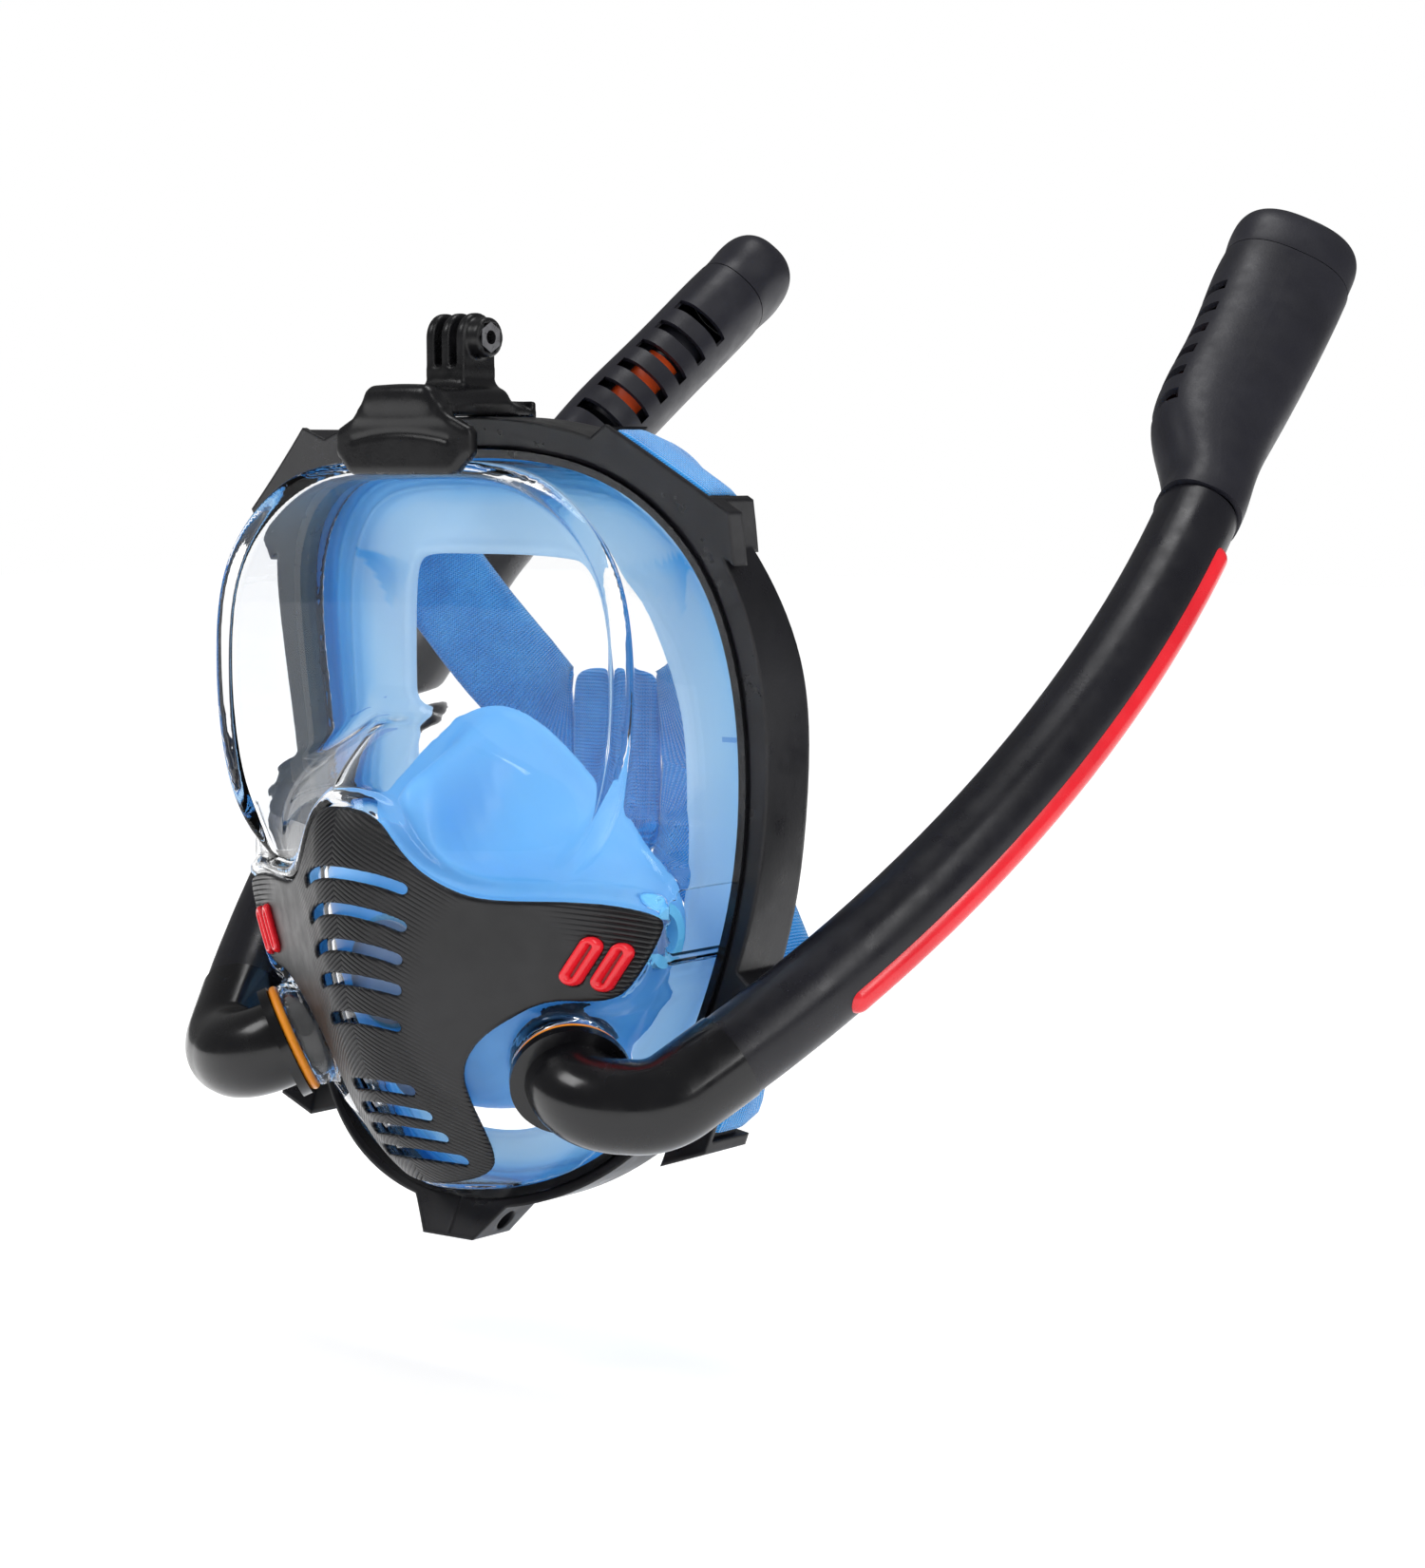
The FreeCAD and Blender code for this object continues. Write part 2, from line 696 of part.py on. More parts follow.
def elbow():
    """Spigot, flange and double bend that leads from the port to the tube's foot."""
    first = PORT + PORT_AXIS * ELBOW_FIRST_RUN
    second = TUBE_START - start_run * ELBOW_LAST_RUN
    base = PORT + PORT_AXIS * FLANGE_START
    path = rounded_path([base, first, second, TUBE_START], dim("elbow_bend"))
    outer = pipe(path, base, PORT_AXIS, dim("elbow_radius"))
    inner = pipe(path, base, PORT_AXIS, dim("spigot_bore"))
    spigot_base = PORT - PORT_AXIS * (dim("port_long") - 1)
    spigot_long = dim("port_long") - 1 + FLANGE_START
    spigot = Part.makeCylinder(dim("spigot_radius"), spigot_long, spigot_base, PORT_AXIS)
    flange = Part.makeCylinder(dim("flange_radius"), dim("flange_thick"), base, PORT_AXIS)
    bore = Part.makeCylinder(dim("spigot_bore"), spigot_long, spigot_base, PORT_AXIS)
    return outer.fuse([spigot, flange]).cut([inner, bore])


elbow_right = node(coded("elbow_right", elbow()), "elbow_right")
mirrored(elbow_right, "elbow_left")

for side, hand in ((1, "right"), (-1, "left")):
    axis = Vector(side * PORT_AXIS.x, PORT_AXIS.y, PORT_AXIS.z)
    centre = Vector(side * PORT.x, PORT.y, PORT.z) + axis * 1.6
    ring_sizes = {"Radius1": "dims.ring_radius", "Radius2": "dims.ring_thick"}
    ring = primitive("Torus", "port_ring_" + hand, ring_sizes,
                     facing(axis, centre))
    node(ring, "port_ring_" + hand)

tube_outer = pipe(tube_path, TUBE_START, start_run, dim("tube_radius"))
tube_inner = pipe(tube_path, TUBE_START, start_run, dim("tube_bore"))
tube_right = node(coded("tube_right", tube_outer.cut(tube_inner)), "tube_right")
mirrored(tube_right, "tube_left")

STRIPE_LEAN = 0.1
STRIPE_START = 0.155
STRIPE_END = 0.93


def stripe():
    """Raised band along the outside of the tube's bend, with rounded ends."""
    edge = tube_path.Edges[0]
    span = edge.LastParameter - edge.FirstParameter
    points = []
    for part in (STRIPE_START, 0.5, STRIPE_END):
        middle = edge.valueAt(edge.FirstParameter + span * part)
        outwards = (middle - edge.Curve.Center).normalize()
        points.append(middle + (outwards + tube_normal * STRIPE_LEAN).normalize() * dim("stripe_rise"))
    path = Part.Wire([Part.Arc(*points).toShape()])
    run = path.Edges[0].tangentAt(path.Edges[0].FirstParameter)
    rod = pipe(path, points[0], run, dim("stripe_radius"))
    ends = [Part.makeSphere(dim("stripe_radius"), spot) for spot in (points[0], points[2])]
    return rod.fuse(ends).cut(tube_outer)


stripe_right = node(coded("stripe_right", stripe()), "stripe_right")
mirrored(stripe_right, "stripe_left")

# ---------------------------------------------------------------- dry tops

HEAD_AXIS = (HEAD_END - TUBE_END).normalize()
WIDE_HINT = Vector(0.75, 0.54, -0.37)
WIDE = (WIDE_HINT - HEAD_AXIS * WIDE_HINT.dot(HEAD_AXIS)).normalize()
THIN = WIDE.cross(HEAD_AXIS)


def oval(along, thin, wide, shift=0.0):
    """Rounded section across the head, with its long axis away from the midline."""
    centre = TUBE_END + HEAD_AXIS * along + WIDE * shift
    points = []
    for step in range(24):
        angle = math.tau * step / 24
        c = math.cos(angle)
        s = math.sin(angle)
        points.append(centre + THIN * (math.copysign(abs(c) ** 0.8, c) * thin) +
                      WIDE * (math.copysign(abs(s) ** 0.8, s) * wide))
    return closed_curve(points)


def head_loft(inset, start, end):
    """Grip of the head: round at the tube, then a flattened section with a fuller vent side."""
    thin = dim("head_thick") / 2 - inset
    wide = dim("head_wide") / 2 - inset
    neck = dim("tube_radius") + 0.7 - inset
    stations = [(start, neck, neck, 0), (14, neck + 0.2, neck + 0.7, -0.6),
                (28, thin - 0.8, wide - 4.5, -4),
                (44, thin, wide - 2, -5), (72, thin, wide - 1.2, -2.8), (98, thin, wide - 0.5, -1.2),
                (end, thin, wide, 0)]
    return Part.makeLoft([oval(*station) for station in stations], True, False)


def cap_loft(inset):
    start = dim("head_long") - dim("cap_long")
    thin = dim("head_thick") / 2 - inset
    wide = dim("head_wide") / 2 - inset
    top = dim("head_long") - inset
    stations = [(start - (1 if inset else 0), thin, wide), (start + 7, thin - 0.1, wide - 0.2),
                (top - 3, thin - 1.0, wide - 1.4), (top, thin - 3.4, wide - 4)]
    return Part.makeLoft([oval(*station) for station in stations], True, False)


def local_box(along, across, size):
    """Box in head directions: centre along the axis and across it; size (long, wide, thin)."""
    length, width, depth = size
    box = Part.makeBox(width, depth, length, Vector(-width / 2, -depth / 2, -length / 2))
    side = HEAD_AXIS.cross(WIDE)
    turn = FreeCAD.Matrix(WIDE.x, side.x, HEAD_AXIS.x, 0, WIDE.y, side.y, HEAD_AXIS.y, 0,
                          WIDE.z, side.z, HEAD_AXIS.z, 0, 0, 0, 0, 1)
    box.Placement = Placement(turn)
    box.translate(TUBE_END + HEAD_AXIS * along + WIDE * across)
    return box


LOUVRE_FIRST = 38.0
LOUVRE_COUNT = 6
CAGE_SHIFT = -6.0
CAGE_START = 42.0
CAGE_FLOOR = 2.0
FLOAT_REST = 0.4
SEAL_THICK = 1.5


def head_body():
    seam = dim("head_long") - dim("cap_long") - 0.4
    shell = head_loft(0, 0, seam).cut(head_loft(dim("head_wall"), -1, seam + 1))
    bore = Part.makeCylinder(dim("tube_bore"), 8, TUBE_END - HEAD_AXIS * 4, HEAD_AXIS)
    shell = shell.cut([bore, tube_outer])
    louvres = []
    for index in range(LOUVRE_COUNT):
        along = LOUVRE_FIRST + index * dim("louvre_pitch")
        louvres.append(local_box(along, -24, (dim("louvre_height"), 14, dim("louvre_wide"))))
    return shell.cut(louvres)


head_right = node(coded("head_right", head_body()), "head_right")
mirrored(head_right, "head_left")
cap_right = node(coded("cap_right", cap_loft(0).cut(cap_loft(dim("head_wall")))), "cap_right")
mirrored(cap_right, "cap_left")


def float_cage():
    """Open cage that guides the float, closed below, with a narrow seat on top."""
    base = TUBE_END + HEAD_AXIS * CAGE_START + WIDE * CAGE_SHIFT
    tall = 2 * CAGE_FLOOR + FLOAT_REST + dim("float_long") + SEAL_THICK + dim("float_travel") + 0.1
    wall = Part.makeCylinder(dim("cage_radius"), tall, base, HEAD_AXIS)
    room_base = base + HEAD_AXIS * CAGE_FLOOR
    room = Part.makeCylinder(dim("cage_bore"), tall - 2 * CAGE_FLOOR, room_base, HEAD_AXIS)
    mouth = Part.makeCylinder(dim("cage_bore") - 3.5, 8, base + HEAD_AXIS * (tall - 4), HEAD_AXIS)
    window = local_box(CAGE_START + tall / 2, CAGE_SHIFT - 8, (tall - 14, 12, 13))
    return wall.cut([room, mouth, window])


cage_right = node(coded("float_cage_right", float_cage()), "float_cage_right")
mirrored(cage_right, "float_cage_left")
for side, hand in ((1, "right"), (-1, "left")):
    axis = Vector(side * HEAD_AXIS.x, HEAD_AXIS.y, HEAD_AXIS.z)
    base = TUBE_END + HEAD_AXIS * (CAGE_START + CAGE_FLOOR + FLOAT_REST) + WIDE * CAGE_SHIFT
    base = Vector(side * base.x, base.y, base.z)
    node(cylinder("float_" + hand, "dims.float_radius", "dims.float_long", axis, base), "float_" + hand)
    top = base + axis * dim("float_long")
    seal = cylinder("float_seal_" + hand, "dims.float_radius - 0.8", str(SEAL_THICK), axis, top)
    node(seal, "float_seal_" + hand)

# ---------------------------------------------------------------- action-camera mount

RIM_TOP = 118.4


def block(name, low, high):
    size = Vector(*high) - Vector(*low)
    return primitive("Box", name, {"Length": str(size.x), "Width": str(size.y), "Height": str(size.z)},
                     Placement(Vector(*low), Rotation()))


DECK_FLOOR = RIM_TOP + 0.3
DECK_TOP = 126.5
LIP_FRONT = -25.5
LIP_BACK = -20.6
HOOK_BACK = 23.0


def extruded(name, corners, direction):
    """A flat polygon extruded along direction by a document feature."""
    profile = coded(name + "_profile", Part.Face(Part.makePolygon(corners + corners[:1])))
    feature = doc.addObject("Part::Extrusion", name)
    feature.Base = profile
    feature.DirMode = "Custom"
    feature.Dir = direction
    feature.LengthFwd = direction.Length
    feature.Solid = True
    return feature


deck_plan = [(-17, LIP_FRONT), (17, LIP_FRONT), (13, -4), (13, HOOK_BACK), (-13, HOOK_BACK), (-13, -4)]
lip_face = [(-21, 101), (21, 101), (27, 107), (27, 114.5), (16, 119), (12, DECK_TOP), (-12, DECK_TOP),
            (-16, 119), (-27, 114.5), (-27, 107)]
deck_corners = [Vector(x, y, DECK_FLOOR) for x, y in deck_plan]
lip_corners = [Vector(x, LIP_FRONT, z) for x, z in lip_face]
mount_parts = [
    extruded("mount_deck", deck_corners, Vector(0, 0, 123 - DECK_FLOOR)),
    extruded("mount_lip", lip_corners, Vector(0, LIP_BACK - LIP_FRONT, 0)),
    block("mount_crown", (-12, LIP_FRONT, 122), (12, 14, DECK_TOP)),
    block("mount_hook", (-13, 20.8, 112), (13, HOOK_BACK, 122)),
    block("fork_base", (-7.5, -4.4, 126), (7.5, 10.4, 133.5)),
]
for index in (-1, 0, 1):
    left_face = "dims.fork_pitch * %d - dims.fork_prong / 2" % index
    base = Vector(index * dim("fork_pitch") - dim("fork_prong") / 2, dim("fork_depth"), dim("fork_height"))
    cheek = cylinder("fork_cheek%d" % (index + 2), "dims.fork_round", "dims.fork_prong", X_AXIS, base)
    cheek.setExpression("Placement.Base.x", left_face)
    stem = block("fork_stem%d" % (index + 2), (base.x, -4.4, 133), (base.x + 3, 10.4, dim("fork_height")))
    mount_parts += [cheek, stem]
boss_base = Vector(7.5, dim("fork_depth"), dim("fork_height"))
fork_boss = cylinder("fork_boss", "dims.nut_across / 2 + 2", "dims.nut_thick + 1", X_AXIS, boss_base)
mount_parts.append(fork_boss)
fork_hole = cylinder("fork_hole", "dims.fork_bore", "24", X_AXIS, boss_base + Vector(-16, 0, 0))
nut_room = primitive("Prism", "nut_room", {"Circumradius": "dims.nut_across / 3^0.5 + 0.05", "Height": "8"},
                     facing(X_AXIS, boss_base + Vector(1, 0, 0)), Polygon=6)
mount_holes = fuse("mount_holes", [fork_hole, nut_room])
node(cut("camera_mount", fuse("mount_solid", mount_parts), mount_holes), "camera_mount")

nut_sizes = {"Circumradius": "dims.nut_across / 3^0.5", "Height": "dims.nut_thick"}
nut_solid = primitive("Prism", "nut_solid", nut_sizes,
                      facing(X_AXIS, boss_base + Vector(1, 0, 0)), Polygon=6)
nut_hole = cylinder("nut_hole", "dims.nut_bore", "dims.nut_thick + 2", X_AXIS, boss_base)
node(cut("mount_nut", nut_solid, nut_hole), "mount_nut")

# ---------------------------------------------------------------- head strap

PAD_CENTRE = Vector(0, 76, 10)


def band(centre, across, facing_out, wide, thick):
    """Rectangle of webbing: across is its width's direction, facing_out its normal's."""
    a = across * (wide / 2)
    b = facing_out * (thick / 2)
    corners = [centre + a + b, centre - a + b, centre - a - b, centre + a - b]
    return Part.makePolygon(corners + corners[:1])


def bezier(points, part):
    """Point on the cubic through two ends with two handles."""
    rest = 1 - part
    shares = (rest ** 3, 3 * rest ** 2 * part, 3 * rest * part ** 2, part ** 3)
    total = Vector(0, 0, 0)
    for spot, share in zip(points, shares):
        total += spot * share
    return total


def strap_loop(lug):
    """End of the webbing, folded round the bar of one ear."""
    thick = dim("strap_thick")
    half = dim("strap_wide") / 2
    front = BAR_FRONT - STRAP_CLEAR
    back = BAR_FRONT + BAR_THICK + STRAP_CLEAR
    inside = BAR_INSIDE - STRAP_CLEAR
    outside = BAR_OUTSIDE + STRAP_CLEAR
    outer = lug_strip(lug, inside - thick, outside + thick, half, front - thick, back + thick)
    inner = lug_strip(lug, inside, outside, half + 1, front, back)
    return outer.cut(inner)


def strap_arm(lug, pad_spot, pad_across):
    """Loop at the ear, and a ribbon that turns as it runs back to the pad."""
    along, outward = lug_axes(lug)
    thick = dim("strap_thick")
    depth = BAR_FRONT + BAR_THICK + STRAP_CLEAR + thick / 2
    middle = strap_seat(lug) + outward * ((BAR_INSIDE + BAR_OUTSIDE) / 2)
    half = dim("strap_wide") / 2 - 0.5
    one = swept_point(middle - along * half, depth)
    two = swept_point(middle + along * half, depth)
    across = (two - one).normalize()
    start = (one + two) * 0.5
    if across.dot(pad_across) < 0:
        pad_across = pad_across * -1
    leaving = start + Vector(3, 32, 0)
    arriving = pad_spot + Vector(24, -2, 0)
    first_run = Vector(0, 1, 0)
    last_run = (pad_spot - arriving).normalize()
    wires = []
    steps = 7
    for step in range(steps + 1):
        part = step / steps
        centre = bezier([start, leaving, arriving, pad_spot], part)
        turn = (across * (1 - part) + pad_across * part).normalize()
        run = (first_run * (1 - part) + last_run * part).normalize()
        normal = turn.cross(run).normalize()
        wires.append(band(centre, turn, normal, 2 * half, thick))
    ribbon = Part.makeLoft(wires, True, True)
    return strap_loop(lug).fuse(ribbon)


pad_room = Part.makeBox(34.2, 4.6, 58.2, PAD_CENTRE - Vector(17.1, 2.3, 29.1))
upper_arm = strap_arm(UPPER_LUG, PAD_CENTRE + Vector(20, 0, 13), Vector(0.6, 0, -0.8)).cut(pad_room)
lower_arm = strap_arm(LOWER_LUG, PAD_CENTRE + Vector(20, 0, -13), Vector(0.6, 0, 0.8))
lower_arm = lower_arm.cut([pad_room, upper_arm])
for label, shape in (("strap_upper", upper_arm), ("strap_lower", lower_arm)):
    right = node(coded(label + "_right", shape), label + "_right")
    mirrored(right, label + "_left")

pad_solid = primitive("Box", "pad_solid", {"Length": "34", "Width": "dims.strap_thick * 2", "Height": "58"},
                      Placement(PAD_CENTRE + Vector(-17, -2.2, -29), Rotation()))
node(pad_solid, "strap_pad")

# ---------------------------------------------------------------- placement, checks and export

doc.recompute()
to_origin = Placement(Vector(0, -dim("seal_depth"), 0), Rotation())
for feature in NODES:
    feature.Placement = to_origin.multiply(feature.Placement)
doc.recompute()

for feature in doc.Objects:
    if "Invalid" in feature.State or "Error" in feature.State:
        raise SystemExit("not computed: " + feature.Label)
for feature in NODES:
    if feature.Shape.isNull() or not feature.Shape.isValid():
        raise SystemExit("bad shape: " + feature.Label)
    feature.Shape.exportStep("parts/%s.step" % feature.Label)
    box = feature.Shape.BoundBox
    print("%-20s solids %d  volume %9.1f  x %7.1f %7.1f  y %7.1f %7.1f  z %7.1f %7.1f" % (
        feature.Label, len(feature.Shape.Solids), feature.Shape.Volume,
        box.XMin, box.XMax, box.YMin, box.YMax, box.ZMin, box.ZMax))
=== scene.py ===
"""Looks of the full face snorkel: detailed pieces, materials, light and camera."""

import math

import bmesh
import bpy
import numpy as np
from mathutils import Matrix, Vector


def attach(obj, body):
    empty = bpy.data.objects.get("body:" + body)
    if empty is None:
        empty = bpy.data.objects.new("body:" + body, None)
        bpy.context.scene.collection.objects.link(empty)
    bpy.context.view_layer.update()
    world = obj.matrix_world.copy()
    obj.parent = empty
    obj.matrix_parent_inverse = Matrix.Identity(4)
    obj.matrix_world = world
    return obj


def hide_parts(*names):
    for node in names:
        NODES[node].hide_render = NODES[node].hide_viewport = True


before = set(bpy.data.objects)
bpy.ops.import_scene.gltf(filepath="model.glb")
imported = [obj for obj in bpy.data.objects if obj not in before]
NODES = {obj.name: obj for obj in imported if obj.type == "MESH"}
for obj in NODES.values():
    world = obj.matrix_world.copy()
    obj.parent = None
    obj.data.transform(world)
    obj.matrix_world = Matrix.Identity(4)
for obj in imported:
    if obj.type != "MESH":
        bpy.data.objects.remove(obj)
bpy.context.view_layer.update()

# Sizes below are millimetres about the middle of the rim's front plane.
# row() turns them into metres in the row frame, whose origin lies this far behind that plane.
SEAL_DEPTH = 28.0


def row(points):
    """Millimetres about the rim to metres in the row frame."""
    moved = np.array(points, float) - np.array([0.0, SEAL_DEPTH, 0.0])
    return moved / 1000.0


# ---------------------------------------------------------------- curves


def cubic(t, h, p0, p1, s0, s1):
    """Point between p0 and p1, h apart, whose slopes there are s0 and s1."""
    return (
        (2 * t**3 - 3 * t**2 + 1) * p0
        + (t**3 - 2 * t**2 + t) * h * s0
        + (3 * t**2 - 2 * t**3) * p1
        + (t**3 - t**2) * h * s1
    )


def slope_row(gap0, gap1, p0, p1, p2):
    """Right-hand side of the spline's equation at p1."""
    return 3 * (gap1 * (p1 - p0) / gap0 + gap0 * (p2 - p1) / gap1)


def ring_curve(points, count):
    """Closed smooth curve through points, sampled evenly: a cubic spline by chord length."""
    pts = np.array(points, float)
    n = len(pts)
    gaps = np.linalg.norm(np.roll(pts, -1, 0) - pts, axis=1)
    left, right = np.zeros((n, n)), np.zeros((n, pts.shape[1]))
    for i in range(n):
        before, after = gaps[i - 1], gaps[i]
        left[i, i - 1] += after
        left[i, i] += 2 * (before + after)
        left[i, (i + 1) % n] += before
        right[i] = slope_row(before, after, pts[i - 1], pts[i], pts[(i + 1) % n])
    slopes = np.linalg.solve(left, right)
    ends = np.concatenate([[0], np.cumsum(gaps)])
    where = np.arange(count) / count * ends[-1]
    i = np.clip(np.searchsorted(ends, where, side="right") - 1, 0, n - 1)
    h = gaps[i][:, None]
    t = ((where - ends[i]) / gaps[i])[:, None]
    j = (i + 1) % n
    return cubic(t, h, pts[i], pts[j], slopes[i], slopes[j])


def open_curve(points, count):
    """Smooth curve through points, sampled evenly in chord length."""
    pts = np.array(points, float)
    n = len(pts)
    gaps = np.linalg.norm(np.diff(pts, axis=0), axis=1)
    ends = np.concatenate([[0], np.cumsum(gaps)])
    left, right = np.zeros((n, n)), np.zeros((n, pts.shape[1]))
    left[0, 0], left[0, 1] = 2, 1
    right[0] = 3 * (pts[1] - pts[0]) / gaps[0]
    left[-1, -1], left[-1, -2] = 2, 1
    right[-1] = 3 * (pts[-1] - pts[-2]) / gaps[-1]
    for i in range(1, n - 1):
        before, after = gaps[i - 1], gaps[i]
        left[i, i - 1], left[i, i], left[i, i + 1] = after, 2 * (before + after), before
        right[i] = slope_row(before, after, pts[i - 1], pts[i], pts[i + 1])
    slopes = np.linalg.solve(left, right)
    where = np.linspace(0, ends[-1], count)
    i = np.clip(np.searchsorted(ends, where, side="right") - 1, 0, n - 2)
    h = gaps[i][:, None]
    t = ((where - ends[i]) / gaps[i])[:, None]
    return cubic(t, h, pts[i], pts[i + 1], slopes[i], slopes[i + 1])


def spline(stations, values):
    """Function through rising stations, for a table of sizes."""
    order = np.argsort(stations)
    table = np.stack([np.array(stations, float)[order], np.array(values, float)[order]], 1)
    dense = open_curve(table, 400)
    rising = np.maximum.accumulate(dense[:, 0])
    return lambda x: np.interp(x, rising, dense[:, 1])


def mirror_half(half):
    """Closed outline from its right-hand half, which starts and ends on x = 0."""
    return list(half) + [(-x, z) for x, z in reversed(half[1:-1])]


def grown(half, amount):
    """Half outline moved outwards along its normals by a number or by f(z)."""
    ring = np.array(mirror_half(half), float)
    run = np.roll(ring, -1, 0) - np.roll(ring, 1, 0)
    run /= np.linalg.norm(run, axis=1)[:, None]
    reach = np.array([amount(z) if callable(amount) else amount for z in ring[:, 1]])[:, None]
    moved = ring + np.stack([-run[:, 1], run[:, 0]], 1) * reach
    moved = moved[: len(half)]
    moved[0, 0] = moved[-1, 0] = 0.0
    return [tuple(p) for p in moved]


def softened(ring, rounds):
    """Corner cutting on a closed polygon."""
    pts = np.array(ring, float)
    for _ in range(rounds):
        following = np.roll(pts, -1, 0)
        pts = np.stack([pts * 0.75 + following * 0.25, pts * 0.25 + following * 0.75], 1).reshape(-1, 2)
    return pts


# ---------------------------------------------------------------- distance fields


class Grid:
    """Box of sample points; a symmetric piece uses only the half with x >= 0."""

    def __init__(self, low, high, step):
        self.step = step
        self.low = np.array(low, float)
        counts = np.ceil((np.array(high, float) - self.low) / step).astype(int) + 1
        self.axes = [self.low[k] + step * np.arange(counts[k]) for k in range(3)]
        self.x = self.axes[0][:, None, None]
        self.y = self.axes[1][None, :, None]
        self.z = self.axes[2][None, None, :]
        self.shape = tuple(counts)


def smooth_min(a, b, k):
    h = np.maximum(k - np.abs(a - b), 0) / k
    return np.minimum(a, b) - h * h * k * 0.25


def smooth_max(a, b, k):
    return -smooth_min(-a, -b, k)


def even(field, step):
    """Field divided by its slope, so that it reads as a distance."""
    gx, gy, gz = np.gradient(field, step)
    return field / np.maximum(np.sqrt(gx * gx + gy * gy + gz * gz), 0.25)


def flat_distance(ring, a, b):
    """Signed distance in a plane to a closed polygon, negative inside, on the grid a x b."""
    ring = np.array(ring, float)
    px, pz = np.broadcast_arrays(a[:, None], b[None, :])
    best = np.full(px.shape, 1e9)
    inside = np.zeros(px.shape, bool)
    for p, q in zip(ring, np.roll(ring, -1, 0)):
        d = q - p
        t = np.clip(((px - p[0]) * d[0] + (pz - p[1]) * d[1]) / max(d @ d, 1e-12), 0, 1)
        best = np.minimum(best, (px - p[0] - t * d[0]) ** 2 + (pz - p[1] - t * d[1]) ** 2)
        if abs(d[1]) > 1e-12:
            crosses = (pz > min(p[1], q[1])) & (pz <= max(p[1], q[1]))
            inside ^= crosses & (px < p[0] + (pz - p[1]) * d[0] / d[1])
    return np.where(inside, -1, 1) * np.sqrt(best)


def rod(g, start, end, radius):
    """Cylinder between two points, as a distance field on grid g."""
    start, end = np.array(start, float), np.array(end, float)
    axis = end - start
    long = np.linalg.norm(axis)
    axis /= long
    dx, dy, dz = g.x - start[0], g.y - start[1], g.z - start[2]
    along = dx * axis[0] + dy * axis[1] + dz * axis[2]
    out = np.sqrt(np.maximum(dx * dx + dy * dy + dz * dz - along * along, 0)) - radius
    return np.maximum(out, np.maximum(-along, along - long))


def surface_net(field, low, step):
    """Vertices and quads on the zero level of a sampled distance field."""
    inside = field < 0
    cell_shape = tuple(n - 1 for n in field.shape)
    total = np.zeros(cell_shape, np.int8)
    corners = [(i, j, k) for i in (0, 1) for j in (0, 1) for k in (0, 1)]
    nx, ny, nz = cell_shape
    for i, j, k in corners:
        total += inside[i : i + nx, j : j + ny, k : k + nz]
    cells = np.argwhere((total > 0) & (total < 8))
    index = np.full(cell_shape, -1, np.int64)
    index[tuple(cells.T)] = np.arange(len(cells))
    place, hits = np.zeros((len(cells), 3)), np.zeros(len(cells))
    values = {c: field[tuple((cells + c).T)] for c in corners}
    for one in corners:
        for axis in range(3):
            if one[axis]:
                continue
            two = tuple(1 if k == axis else one[k] for k in range(3))
            f0, f1 = values[one], values[two]
            cross = (f0 < 0) != (f1 < 0)
            t = f0[cross] / (f0[cross] - f1[cross])
            spot = np.tile(np.array(one, float), (cross.sum(), 1))
            spot[:, axis] += t
            place[cross] += spot
            hits[cross] += 1
    verts = np.array(low, float) + (cells + place / hits[:, None]) * step
    quads = []
    for axis in range(3):
        u, v = (axis + 1) % 3, (axis + 2) % 3
        lo = [slice(1, n - 1) for n in field.shape]
        hi = [slice(1, n - 1) for n in field.shape]
        lo[axis], hi[axis] = slice(0, field.shape[axis] - 1), slice(1, field.shape[axis])
        f0 = inside[tuple(lo)]
        change = np.argwhere(f0 != inside[tuple(hi)])
        start = np.array([0 if k == axis else 1 for k in range(3)])
        nodes = change + start
        out = f0[tuple(change.T)]
        eu, ev = np.eye(3, dtype=int)[u], np.eye(3, dtype=int)[v]
        quad = np.stack([index[tuple((nodes - eu - ev).T)], index[tuple((nodes - ev).T)],
                         index[tuple(nodes.T)], index[tuple((nodes - eu).T)]], 1)
        quad[~out] = quad[~out][:, ::-1]
        quads.append(quad)
    return verts, np.concatenate(quads)


def sample(field, low, step, points):
    """Trilinear reading of a field at points."""
    f = (points - low) / step
    base = np.clip(np.floor(f).astype(int), 0, np.array(field.shape) - 2)
    t = f - base
    total = 0
    for corner in np.ndindex(2, 2, 2):
        x, y, z = (t[:, k] if corner[k] else 1 - t[:, k] for k in range(3))
        total = total + x * y * z * field[tuple((base + corner).T)]
    return total


def field_mesh(name, field, g, mirrored_x, rounds=3):
    """Mesh of a field's zero level, evened out and pulled back onto it."""
    low = g.low.copy()
    if mirrored_x:
        field = np.concatenate([field[:0:-1], field], 0)
        low[0] = -g.axes[0][-1]
    verts, quads = surface_net(field, low, g.step)
    slopes = np.gradient(field, g.step)
    ends = np.stack([quads, np.roll(quads, -1, 1)], 2).reshape(-1, 2)
    ends = np.concatenate([ends, ends[:, ::-1]])
    degree = np.bincount(ends[:, 0], minlength=len(verts))[:, None]
    for _ in range(rounds):
        sums = [np.bincount(ends[:, 0], verts[ends[:, 1], k], len(verts)) for k in range(3)]
        verts = verts + 0.5 * (np.stack(sums, 1) / degree - verts)
        for _ in range(2):
            value = sample(field, low, g.step, verts)
            normal = np.stack([sample(s, low, g.step, verts) for s in slopes], 1)
            size = np.maximum((normal**2).sum(1), 0.05)
            verts = verts - np.clip(value / size, -g.step, g.step)[:, None] * normal
    return new_mesh(name, verts, quads)


